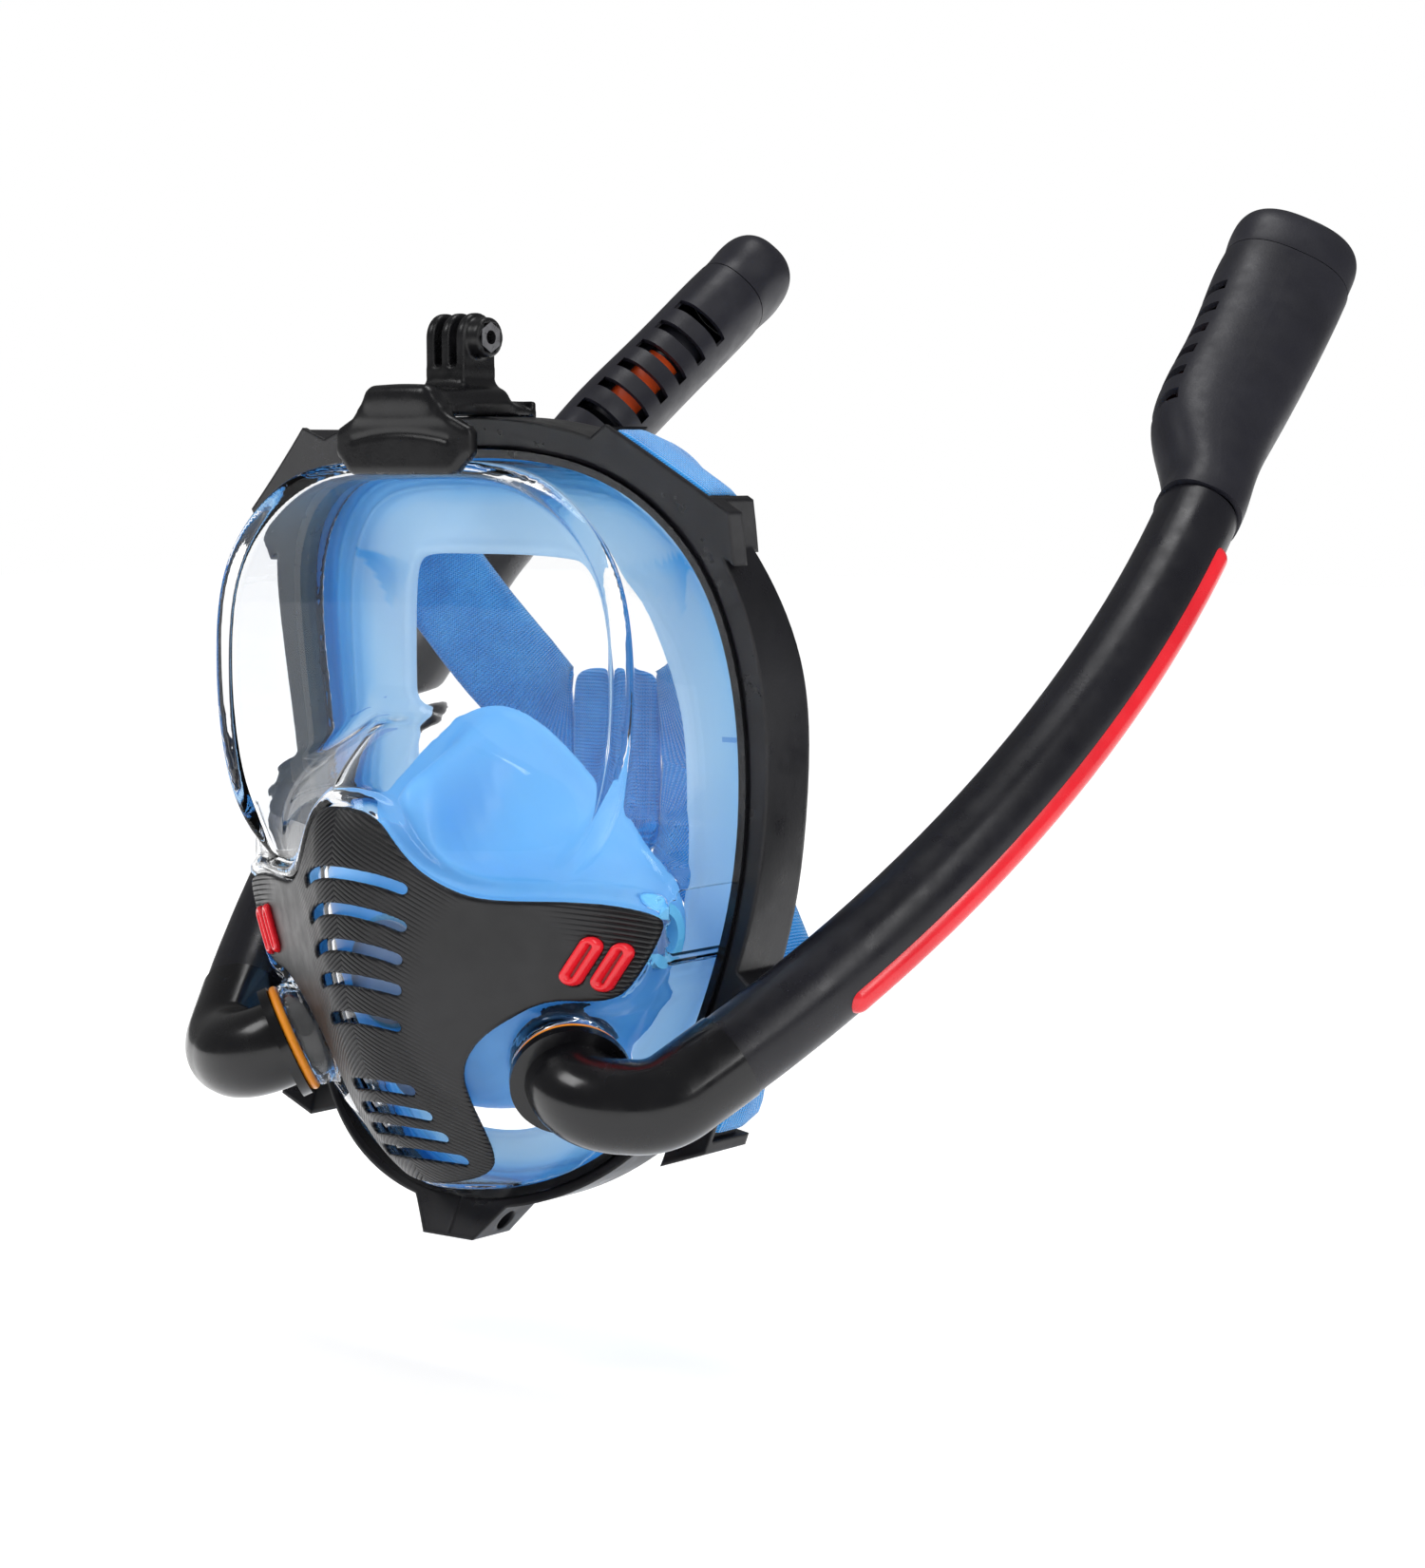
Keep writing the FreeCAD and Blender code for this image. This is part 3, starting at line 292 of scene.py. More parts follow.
def new_mesh(name, verts, faces, outwards=False, weld=0.0):
    """Smooth piece from millimetre points; outwards turns all faces out, weld joins near points."""
    mesh = bpy.data.meshes.new(name)
    faces = [tuple(int(i) for i in face) for face in faces]
    mesh.from_pydata([tuple(v) for v in row(verts)], [], faces)
    mesh.validate()
    if outwards:
        work = bmesh.new()
        work.from_mesh(mesh)
        if weld:
            bmesh.ops.remove_doubles(work, verts=work.verts, dist=weld / 1000)
        bmesh.ops.recalc_face_normals(work, faces=work.faces)
        work.to_mesh(mesh)
        work.free()
    mesh.shade_smooth()
    piece = bpy.data.objects.new(name, mesh)
    bpy.context.scene.collection.objects.link(piece)
    return piece


def loft_faces(rings, count):
    """Quads between successive rings of count points each, the last joined to the first."""
    faces = []
    for r in range(rings):
        a, b = r * count, ((r + 1) % rings) * count
        for i in range(count):
            j = (i + 1) % count
            faces.append((a + i, a + j, b + j, b + i))
    return faces


# ---------------------------------------------------------------- materials


GLOSS_SPREAD = 0.08
FINE_BUMP = 0.00004
VALVE_GLOW = 0.55


class Tree:
    """Short hand for a material's nodes."""

    def __init__(self, name):
        self.material = bpy.data.materials.new(name)
        self.material.use_nodes = True
        self.nodes = self.material.node_tree.nodes
        self.links = self.material.node_tree.links
        self.nodes.clear()
        self.output = self.nodes.new("ShaderNodeOutputMaterial")

    def add(self, kind, inputs=None, **settings):
        node = self.nodes.new("ShaderNode" + kind)
        for key, value in settings.items():
            setattr(node, key, value)
        for key, value in (inputs or {}).items():
            if isinstance(value, bpy.types.NodeSocket):
                self.links.new(value, node.inputs[key])
            else:
                node.inputs[key].default_value = value
        return node

    def math(self, operation, a, b=None, c=None):
        node = self.nodes.new("ShaderNodeMath")
        node.operation = operation
        for socket, value in zip(node.inputs, (a, b, c)):
            if value is None:
                continue
            if isinstance(value, bpy.types.NodeSocket):
                self.links.new(value, socket)
            else:
                socket.default_value = value
        return node.outputs[0]

    def noise(self, scale, detail):
        inputs = {"Scale": scale, "Detail": detail, "Roughness": 0.55, "Vector": self.coords()}
        return self.add("TexNoise", inputs).outputs["Fac"]

    def coords(self):
        if not hasattr(self, "_coords"):
            self._coords = self.add("TexCoord")
        return self._coords.outputs["Object"]

    def ramp(self, factor, stops):
        node = self.add("ValToRGB", {"Fac": factor})
        elements = node.color_ramp.elements
        while len(elements) < len(stops):
            elements.new(0.5)
        for element, (place, colour) in zip(elements, stops):
            element.position = place
            element.color = tuple(colour) + (1.0,)
        return node.outputs["Color"]

    def span(self, value, from_low, from_high, low, high):
        node = self.add("MapRange", {"Value": value, "From Min": from_low, "From Max": from_high,
                                     "To Min": low, "To Max": high})
        return node.outputs["Result"]

    def bump(self, height, distance, strength=1.0, normal=None):
        inputs = {"Height": height, "Distance": distance, "Strength": strength}
        if normal is not None:
            inputs["Normal"] = normal
        return self.add("Bump", inputs).outputs["Normal"]

    def mix(self, share, one, two):
        return self.add("MixShader", {"Fac": share, 1: one, 2: two}).outputs["Shader"]

    def see_through(self, body, tone, glow, share, clear_tone):
        """Finished material: body lit from behind by glow, and a share of it clear."""
        through = self.add("BsdfTranslucent", {"Color": tone}).outputs["BSDF"]
        lit = self.mix(glow, body, through)
        see = self.add("BsdfTransparent", {"Color": tuple(clear_tone) + (1.0,)}).outputs["BSDF"]
        return self.finish(self.mix(share, lit, see))

    def finish(self, shader):
        self.links.new(shader, self.output.inputs["Surface"])
        return self.material


def plastic(name, dark, light, rough, grain=900.0, grain_deep=0.00003, coat=0.0, edge=0.0):
    """Moulded plastic: slight variation, a fine grain and, with edge, corners that look rounded."""
    t = Tree(name)
    cloud = t.noise(35.0, 3.0)
    colour = t.ramp(cloud, [(0.3, dark), (0.7, light)])
    gloss = t.span(t.noise(120.0, 5.0), 0.3, 0.7, rough - GLOSS_SPREAD, rough + GLOSS_SPREAD)
    rounded = t.add("Bevel", {"Radius": edge}, samples=6).outputs["Normal"] if edge else None
    normal = t.bump(t.noise(grain, 2.0), grain_deep, 1.0, rounded)
    shader = t.add("BsdfPrincipled", {"Base Color": colour, "Roughness": gloss, "Normal": normal,
                                      "Coat Weight": coat, "Coat Roughness": 0.12,
                                      "Specular IOR Level": 0.4})
    return t.finish(shader.outputs["BSDF"])


def silicone(name, deep, pale, clear):
    """Translucent silicone: light passes through and it is a little see-through."""
    t = Tree(name)
    cloud = t.noise(18.0, 3.0)
    colour = t.ramp(cloud, [(0.25, deep), (0.75, pale)])
    normal = t.bump(t.noise(260.0, 3.0), FINE_BUMP)
    body = t.add("BsdfPrincipled", {"Base Color": colour, "Roughness": 0.28, "Normal": normal,
                                    "Specular IOR Level": 0.45}).outputs["BSDF"]
    facing = t.add("LayerWeight", {"Blend": 0.4}).outputs["Facing"]
    share = t.span(facing, 0.0, 1.0, clear, clear * 0.3)
    return t.see_through(body, colour, VALVE_GLOW, share, pale)


SKIRT_TONES = [(0.0, (0.04, 0.42, 0.90)), (0.2, (0.14, 0.58, 0.95)), (0.36, (0.38, 0.72, 0.97)),
               (0.5, (0.58, 0.82, 0.98)), (1.0, (0.70, 0.88, 0.99))]
# Moulded mark on the skirt: metres up, and shares of the way from the rim to the face.
MARK_LEVEL, MARK_HALF_TALL, MARK_MIDDLE, MARK_HALF_LONG = 0.0215, 0.0008, 0.42, 0.2


def skirt_silicone():
    """Sky-blue silicone, deeper beside the rim and pale towards the face, with a moulded mark and painted
    shade on the forehead darts.
    """
    t = Tree("skirt_blue")
    inward_and_fold_shade = t.add("Attribute", attribute_name="inward_and_fold_shade").outputs["Fac"]
    cloud = t.math("MULTIPLY", t.math("SUBTRACT", t.noise(16.0, 3.0), 0.5), 0.25)
    # The darts in the forehead corners carry painted shade: their share is moved towards the deeper blue of
    # the rim.
    tone = t.ramp(t.math("ADD", inward_and_fold_shade, cloud), SKIRT_TONES)
    z = t.add("SeparateXYZ", {"Vector": t.coords()}).outputs["Z"]
    off_level = t.math("ABSOLUTE", t.math("SUBTRACT", z, MARK_LEVEL))
    off_middle = t.math("ABSOLUTE", t.math("SUBTRACT", inward_and_fold_shade, MARK_MIDDLE))
    mark = t.math("MULTIPLY", t.math("LESS_THAN", off_level, MARK_HALF_TALL),
                  t.math("LESS_THAN", off_middle, MARK_HALF_LONG))
    tone = t.add("MixRGB", {"Fac": t.math("MULTIPLY", mark, 0.5), "Color1": tone,
                            "Color2": (0.03, 0.25, 0.7, 1)}).outputs[0]
    normal = t.bump(t.noise(260.0, 3.0), FINE_BUMP)
    body = t.add("BsdfPrincipled", {"Base Color": tone, "Roughness": 0.3, "Normal": normal,
                                    "Specular IOR Level": 0.4}).outputs["BSDF"]
    return t.see_through(body, tone, 0.5, 0.16, (0.62, 0.8, 1.0))


def glass():
    """Clear polycarbonate; lamps shine through it."""
    t = Tree("lens_clear")
    smear = t.span(t.noise(14.0, 4.0), 0.35, 0.8, 0.015, 0.033)
    normal = t.bump(t.noise(55.0, 2.0), 0.00005, 0.35)
    body = t.add("BsdfPrincipled", {"Base Color": (0.985, 0.992, 1.0, 1.0), "Roughness": smear,
                                    "Normal": normal, "Transmission Weight": 1.0, "IOR": 1.3})
    see = t.add("BsdfTransparent", {"Color": (0.93, 0.96, 1.0, 1.0)})
    shadow = t.add("LightPath").outputs["Is Shadow Ray"]
    return t.finish(t.mix(shadow, body.outputs["BSDF"], see.outputs["BSDF"]))


# The cover's ridges in metres: where they lean and bend, pitch and depth, and the smooth cheek.
RIDGE_LEAN, RIDGE_LEAN_TO, RIDGE_BEND_FROM = 0.72, 0.05, 0.03
RIDGE_PITCH, RIDGE_DEEP = 0.0016, 0.00042
CHEEK = [(0.042, 0.034), (-0.052, 0.052)]


def ribbed_cover():
    """Black cover with fine ridges in arches over the nose, running level on the wings."""
    t = Tree("cover_black")
    place = t.add("SeparateXYZ", {"Vector": t.coords()})
    x, z = place.outputs["X"], place.outputs["Z"]
    side = t.math("ABSOLUTE", x)
    lean = t.math("MULTIPLY", t.math("MINIMUM", side, RIDGE_LEAN_TO), RIDGE_LEAN)
    past = t.math("MAXIMUM", t.math("SUBTRACT", side, RIDGE_BEND_FROM), 0.0)
    bend = t.math("MULTIPLY", t.math("POWER", past, 2.0), 2.0)
    level = t.math("ADD", z, t.math("ADD", lean, bend))
    wave = t.math("PINGPONG", t.math("MULTIPLY", level, 1 / RIDGE_PITCH), 0.5)
    ridge = t.math("SMOOTH_MIN", t.math("MULTIPLY", wave, 3.2), 1.0, 0.3)
    # The cheeks are smooth: the ridges fade towards the middle of each cheek.
    spread = []
    for value, (middle, half) in zip((side, z), CHEEK):
        share = t.math("DIVIDE", t.math("SUBTRACT", value, middle), half)
        spread.append(t.math("POWER", share, 2.0))
    fade = t.span(t.math("ADD", *spread), 0.35, 1.1, 0.0, 1.0)
    height = t.math("MULTIPLY", ridge, fade)
    grain = t.bump(t.noise(1100.0, 2.0), 0.00002)
    normal = t.bump(height, RIDGE_DEEP, 1.0, grain)
    tone = t.ramp(t.noise(40.0, 3.0), [(0.3, (0.004, 0.004, 0.005)), (0.7, (0.007, 0.007, 0.009))])
    gloss = t.span(t.noise(150.0, 4.0), 0.3, 0.7, 0.33, 0.45)
    shader = t.add("BsdfPrincipled", {"Base Color": tone, "Roughness": gloss, "Normal": normal})
    return t.finish(shader.outputs["BSDF"])


RIB_PITCH, THREAD_PITCH, WEAVE_DEEP = 0.0011, 0.0009, 0.00035


def webbing():
    """Blue elastic webbing: ribs across, threads along, fuzz."""
    t = Tree("strap_webbing")
    uv = t.add("UVMap", uv_map="Weave")
    place = t.add("SeparateXYZ", {"Vector": uv.outputs["UV"]})
    u, v = place.outputs["X"], place.outputs["Y"]
    ribs = t.math("SINE", t.math("MULTIPLY", v, math.tau / RIB_PITCH))
    threads = t.math("SINE", t.math("MULTIPLY", u, math.tau / THREAD_PITCH))
    crossed = t.math("MULTIPLY", t.math("MULTIPLY", ribs, threads), 0.5)
    weave = t.math("ADD", t.math("MULTIPLY", ribs, 0.6), crossed)
    fuzz = t.noise(1800.0, 3.0)
    height = t.math("ADD", weave, t.math("MULTIPLY", fuzz, 0.8))
    patches = t.math("MULTIPLY", t.noise(60.0, 3.0), 0.9)
    tone = t.math("ADD", t.math("MULTIPLY", weave, 0.16), patches)
    colour = t.ramp(tone, [(0.15, (0.015, 0.18, 0.55)), (0.45, (0.04, 0.32, 0.80)),
                           (0.8, (0.10, 0.46, 0.92))])
    normal = t.bump(height, WEAVE_DEEP)
    shader = t.add("BsdfPrincipled", {"Base Color": colour, "Roughness": 0.8, "Normal": normal,
                                      "Sheen Weight": 0.5, "Sheen Roughness": 0.4,
                                      "Specular IOR Level": 0.2})
    return t.finish(shader.outputs["BSDF"])


def steel():
    """Turned steel: bright and dull patches."""
    t = Tree("nut_steel")
    tone = t.ramp(t.noise(300.0, 4.0), [(0.3, (0.30, 0.30, 0.32)), (0.7, (0.45, 0.45, 0.47))])
    gloss = t.span(t.noise(500.0, 4.0), 0.3, 0.7, 0.25, 0.4)
    shader = t.add("BsdfPrincipled", {"Base Color": tone, "Metallic": 1.0, "Roughness": gloss})
    return t.finish(shader.outputs["BSDF"])


BLACK_FRAME = plastic("frame_black", (0.005, 0.005, 0.0065), (0.008, 0.008, 0.011), 0.33, edge=0.0016)
BLACK_HEAD = plastic("head_black", (0.010, 0.010, 0.015), (0.015, 0.015, 0.022), 0.42,
                     1300.0, 0.00004)
BLACK_TUBE = plastic("tube_black", (0.006, 0.006, 0.009), (0.009, 0.009, 0.013), 0.32,
                     1000.0, 0.00002)
BLACK_GLOSS = plastic("elbow_black", (0.003, 0.003, 0.004), (0.005, 0.005, 0.006), 0.22,
                      700.0, 0.00001, 0.2)
BLACK_MOUNT = plastic("mount_black", (0.004, 0.004, 0.005), (0.007, 0.007, 0.008), 0.28, edge=0.0012)
COVER = ribbed_cover()
RED = plastic("red_gloss", (0.62, 0.008, 0.018), (0.74, 0.014, 0.025), 0.25, 500.0, 0.00001, 0.4)
RED_DARK = plastic("red_recess", (0.20, 0.003, 0.006), (0.28, 0.005, 0.010), 0.35, 500.0, 0.00001)
ORANGE_RING = plastic("ring_orange", (0.75, 0.22, 0.01), (0.85, 0.30, 0.02), 0.3)
ORANGE_FLOAT = plastic("float_orange", (0.75, 0.075, 0.008), (0.88, 0.11, 0.012), 0.45)
BLUE_VALVE = plastic("valve_blue", (0.12, 0.50, 0.90), (0.18, 0.58, 0.94), 0.3)
CLEAR_FLAP = silicone("valve_silicone", (0.35, 0.5, 0.7), (0.5, 0.65, 0.8), 0.2)
STEEL = steel()
LENS = glass()
SKIRT = skirt_silicone()
CUP = silicone("cup_blue", (0.20, 0.62, 0.96), (0.32, 0.70, 0.98), 0.05)
STRAP = webbing()


def paint(piece, material):
    """Every face of a piece takes this material."""
    piece.data.materials.clear()
    piece.data.materials.append(material)
    return piece


def settle(piece, material, body="mask", stands_for=()):
    """Painted piece on its body, standing for CAD nodes and taking a material slot."""
    paint(piece, material)
    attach(piece, body)
    if stands_for:
        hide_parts(*stands_for)
    return piece


# ---------------------------------------------------------------- rim, lens and muzzle sizes

# Half outlines are (x, z) from the middle of the top round to the middle of the bottom.
SIDE_DEPTH, SWEEP_RADIUS, SWEEP_LEVEL = 29.0, 240.0, -4.0
RIM_HALF = [(0, 108.5), (34, 107), (61, 98), (80, 78), (88, 50), (89, 14),
            (85.5, -25), (79, -56), (68, -86), (51, -104), (28, -115), (0, -119)]
PANE_HALF = [(0, 105.5), (37, 103.5), (59, 93), (76, 73), (81, 46), (79, 18),
             (72, -2), (60, -14), (40, -20), (25, -22), (12, -23), (0, -23)]
PANE_FRONT, GOGGLE_BACK, PANE_DOME = -20.0, 62.0, 0.00022
LENS_WALL, RIM_INSET = 2.4, -3.0
OUTLINE_POINTS = 144
# Height, half width, and how far the front is set back.
MUZZLE = [(31, 12, 20.0), (18, 34, 8.0), (4, 70, 0.0), (-24, 85.5, 0.0), (-50, 76, 0.0),
          (-78, 64, 0.0), (-100, 46, 0.0), (-115, 30, 0.0)]
MUZZLE_TOP, MUZZLE_BOTTOM, MUZZLE_ROUNDING = 31, -115, 5.0
NOSE_REACH, NOSE_RADIUS, NOSE_ARC, NOSE_LEVEL, CHEEK_SLOPE = 52.0, 19.0, 135.0, -17, 0.62
SOCKET_OUTER, SOCKET_INNER, COVER_BORE = 17.2, 14.7, 21.0
PORT = np.array([55.0, -14.0, -73.0])
PORT_AXIS = np.array([0.65, -0.65, -0.40]) / np.linalg.norm([0.65, -0.65, -0.40])
COVER_HALF = [
    (0, 4.9), (4, 4.8), (9.3, 3.5), (13.7, 0), (17, -5), (20.5, -10), (24.5, -14.5),
    (30.5, -18.6), (36, -21), (44, -22), (61, -22), (72, -23), (81.5, -25.6), (83.5, -28.5),
    (79, -38.5), (73, -48), (68, -51.5), (58, -52), (48, -54), (39.5, -58.6), (32, -64.6),
    (27, -71.5), (25, -78.5), (25.2, -95.5), (23.6, -103.5), (20.5, -107.5), (15, -110.5),
    (7, -112.2), (0, -112.8),
]
# Grille slots: half length, height of the ends, and rise of the middle.
SLOTS = [(18.6, -18.6, 4.3), (17.5, -29.7, 4.6), (15.5, -39.6, 3.7), (14.3, -48.8, 2.6), (12.2, -60.0, 2.1),
         (10.5, -80.3, 1.0), (12.0, -88.6, 1.7), (13.3, -95.8, 1.7), (15.0, -103.6, 1.8)]
SLOT_HALF = 1.7
PILLS = [(62.6, -39.5), (70.2, -41.2)]
PILL_LONG, PILL_WIDE, PILL_LEAN = 16.5, 5.8, 32.0


def rim_front(z):
    return SIDE_DEPTH - SWEEP_RADIUS + np.sqrt(SWEEP_RADIUS**2 - (z - SWEEP_LEVEL) ** 2)


MUZZLE_WIDE = spline([m[0] for m in MUZZLE], [m[1] for m in MUZZLE])
MUZZLE_SET = spline([m[0] for m in MUZZLE], [m[2] for m in MUZZLE])


def muzzle_front(x, z):
    """Depth of the muzzle's front at |x| and height z."""
    tip = -NOSE_REACH + NOSE_ARC - np.sqrt(NOSE_ARC**2 - (z - NOSE_LEVEL) ** 2) + MUZZLE_SET(z)
    turn = math.atan(CHEEK_SLOPE)
    edge = NOSE_RADIUS * math.sin(turn)
    side = np.abs(x)
    nose = NOSE_RADIUS - np.sqrt(np.maximum(NOSE_RADIUS**2 - np.minimum(side, edge) ** 2, 0))
    return tip + nose + CHEEK_SLOPE * np.maximum(side - edge, 0)


def muzzle_field(g):
    """Distance to the muzzle's outside."""
    front = muzzle_front(g.x, g.z) - g.y
    side = np.abs(g.x) - MUZZLE_WIDE(g.z) + 0 * g.y
    body = smooth_max(even(front, g.step), side, MUZZLE_ROUNDING)
    body = smooth_max(body, g.z - MUZZLE_TOP + 0 * body, 3.0)
    return np.maximum(body, MUZZLE_BOTTOM - g.z)


def goggle_field(g):
    """Ruled body from the arched pane back to the rim, with its front edge rounded."""
    front = ring_curve(mirror_half(PANE_HALF), OUTLINE_POINTS)
    back = ring_curve(mirror_half(grown(RIM_HALF, RIM_INSET)), OUTLINE_POINTS)
    levels = np.linspace(0, 0.75, 9)
    slices = [flat_distance(front * (1 - s) + back * s, g.axes[0], g.axes[2]) for s in levels]
    share = np.clip((g.axes[1] - PANE_FRONT) / (GOGGLE_BACK - PANE_FRONT), 0, 0.75)
    field = np.empty(g.shape)
    for j, s in enumerate(share):
        i = min(int(s / levels[1]), len(levels) - 2)
        t = (s - levels[i]) / levels[1]
        field[:, j, :] = slices[i] * (1 - t) + slices[i + 1] * t
    return even(field, g.step), slices[0]


def socket(g, start, end, radius):
    """Cylinder along the port's axis, from start to end measured from its mouth."""
    return rod(g, PORT + PORT_AXIS * start, PORT + PORT_AXIS * end, radius)


def plane_ring(ring, g):
    """Distance to a closed outline, the same at every depth."""
    return flat_distance(ring, g.axes[0], g.axes[2])[:, None, :]


def lens_piece():
    """One clear moulding: pane with a rolled edge, muzzle, lip above the cover, and two port sockets."""
    g = Grid((0, -56, -122), (94, 40, 112), 1.15)
    side, pane = goggle_field(g)
    dome = PANE_DOME * (g.x**2 + (g.z - 45) ** 2)
    front = PANE_FRONT + dome - 1.0 - g.y + 0 * side
    goggle = smooth_max(side, front, 3.6)
    muzzle = muzzle_field(g)
    clear = smooth_min(goggle, muzzle, 7.0)
    # Rolled edge round the pane, above the muzzle.
    edge = np.sqrt((pane[:, None, :] + 1.6) ** 2 + (g.y - PANE_FRONT - 0.9) ** 2) - 2.9
    clear = smooth_min(clear, edge, 1.6)
    # Lip that stands over the cover's top edge.
    cover = plane_ring(softened(mirror_half(COVER_HALF), 2), g)
    lip = np.sqrt((cover - 2.6) ** 2 + np.abs(muzzle) ** 2) - 2.4
    lip = np.maximum(lip, -56 - g.z)
    outer = smooth_min(clear, lip, 1.2)
    outer = smooth_min(outer, socket(g, -13, 0, SOCKET_OUTER), 2.0)
    opening = plane_ring(ring_curve(mirror_half(grown(RIM_HALF, RIM_INSET)), OUTLINE_POINTS), g)
    outer = smooth_max(outer, opening + 0 * g.y, 0.8)
    outer = np.maximum(outer, g.y - rim_front(g.z) - 5)
    inner = smooth_max(side + LENS_WALL, front + LENS_WALL, 2.0)
    inner = smooth_min(inner, muzzle + LENS_WALL, 6.0)
    inner = np.minimum(inner, socket(g, -40, 1, SOCKET_INNER))
    return field_mesh("lens_moulding", smooth_max(outer, -inner, 0.5), g, True)


settle(lens_piece(), LENS, stands_for=("lens",))

# ---------------------------------------------------------------- grille cover


def cover_piece():
    """Shield over the muzzle: grille slots, windows for the pills and room for the ports."""
    g = Grid((0, -58, -117), (90, 4, 9), 0.62)
    muzzle = muzzle_field(g)
    cover = plane_ring(softened(mirror_half(COVER_HALF), 2), g) + 0 * g.y
    body = np.maximum(muzzle - 2.3, 0.3 - muzzle)
    body = smooth_max(body, cover, 1.2)
    body = smooth_max(body, -socket(g, -30, 20, COVER_BORE), 0.8)
    cuts = np.full((len(g.axes[0]), len(g.axes[2])), 1e9)
    ax, az = g.axes[0][:, None], g.axes[2][None, :]
    for half, ends, rise in SLOTS:
        radius = (half**2 + rise**2) / (2 * rise)
        centre = ends + rise - radius
        turn = math.asin(half / radius)
        angle = np.arctan2(ax, az - centre)
        arc = np.abs(np.hypot(ax, az - centre) - radius)
        tip = np.hypot(ax - radius * math.sin(turn), az - centre - radius * math.cos(turn))
        cuts = np.minimum(cuts, np.where(np.abs(angle) <= turn, arc, tip) - SLOT_HALF)
    for x, z in PILLS:
        cuts = np.minimum(cuts, pill_distance(ax - x, az - z) - PILL_WIDE / 2 + 0.45)
    body = smooth_max(body, -cuts[:, None, :] + 0 * g.y, 0.9)
    return field_mesh("cover_moulding", body, g, True, 2)


def pill_distance(dx, dz):
    """Distance to the pill's middle line."""
    lean = math.radians(PILL_LEAN)
    run = np.array([math.sin(lean), math.cos(lean)]) * (PILL_LONG - PILL_WIDE) / 2
    t = np.clip((dx * run[0] + dz * run[1]) / (run @ run), -1, 1)
    return np.hypot(dx - t * run[0], dz - t * run[1])


def accent_pieces():
    """Red rounded rings in the wings with a darker sunk floor."""
    for hand in ("right", "left"):
        g = Grid((54, -24, -53), (80, 2, -27), 0.4)
        muzzle = even(muzzle_front(g.x, g.z) - g.y, g.step)
        away = np.minimum(*[pill_distance(g.x - x, g.z - z) for x, z in PILLS])
        rim = np.sqrt((away - PILL_WIDE / 2 + 1.25) ** 2 + ((muzzle - 2.5) * 0.75) ** 2) - 1.2
        floor = np.maximum(away - PILL_WIDE / 2 + 1.2, np.abs(muzzle - 1.5) - 0.8)
        for part, field, material in (("rim", rim, RED), ("floor", floor, RED_DARK)):
            piece = field_mesh(f"accent_{part}_{hand}", field, g, False, 2)
            if hand == "left":
                flip(piece)
            stands = (f"accent_rings_{hand}",) if part == "rim" else ()
            settle(piece, material, stands_for=stands)


def flip(piece):
    """Mirror a piece in x, keeping its faces outwards."""
    piece.data.transform(Matrix.Diagonal((-1, 1, 1, 1)))
    piece.data.flip_normals()


settle(cover_piece(), COVER, stands_for=("grille_cover",))
accent_pieces()

# ---------------------------------------------------------------- CAD pieces that keep their shape

KEPT = {
    "trim_ring": BLACK_GLOSS, "chin_screw": STEEL, "mount_nut": STEEL,
    "exhale_seat": BLUE_VALVE, "exhale_disc": CLEAR_FLAP,
    "purge_seat": BLUE_VALVE, "purge_disc": CLEAR_FLAP,
}
PAIRS = {
    "frame_{}": BLACK_FRAME, "elbow_{}": BLACK_GLOSS, "port_ring_{}": ORANGE_RING,
    "tube_{}": BLACK_TUBE, "stripe_{}": RED, "head_{}": BLACK_HEAD, "cap_{}": BLACK_HEAD,
    "float_cage_{}": BLACK_HEAD, "float_{}": ORANGE_FLOAT, "float_seal_{}": BLACK_TUBE,
    "inhale_{}_seat": BLUE_VALVE, "inhale_{}_disc": CLEAR_FLAP,
}
for hand in ("right", "left"):
    KEPT.update({name.format(hand): material for name, material in PAIRS.items()})
for name, material in KEPT.items():
    paint(NODES[name], material)

# ---------------------------------------------------------------- camera clip

DECK_FLOOR, DECK_TOP, LIP_FRONT, LIP_BACK, HOOK_BACK = 118.7, 126.5, -25.5, -20.6, 23.0
LIP_HALF = [(0, DECK_TOP), (10.5, DECK_TOP), (12.5, 125.5), (16.5, 119.5), (26, 115), (27, 113.5),
            (27, 107.5), (26, 106), (21.5, 101.6), (19.5, 101), (0, 101)]
LIP_BOW = 0.0022
FORK_DEPTH, FORK_HEIGHT, FORK_ROUND, FORK_PITCH, PRONG, FORK_BORE = 3.0, 141.8, 7.4, 6.0, 3.0, 2.6
NUT_FLATS, BOSS_START, BOSS_LONG, BOSS_ROUND = 8.0, 7.5, 4.8, 6.0


def rounded_box(g, low, high, radius):
    """Distance to a box with rounded corners."""
    parts = []
    for axis, lo, hi in zip((g.x, g.y, g.z), low, high):
        parts.append(np.abs(axis - (lo + hi) / 2) - (hi - lo) / 2 + radius)
    outside = np.sqrt(sum(np.maximum(part, 0) ** 2 for part in parts))
    deepest = np.maximum(np.maximum(parts[0], parts[1]), parts[2])
    return outside + np.minimum(deepest, 0) - radius


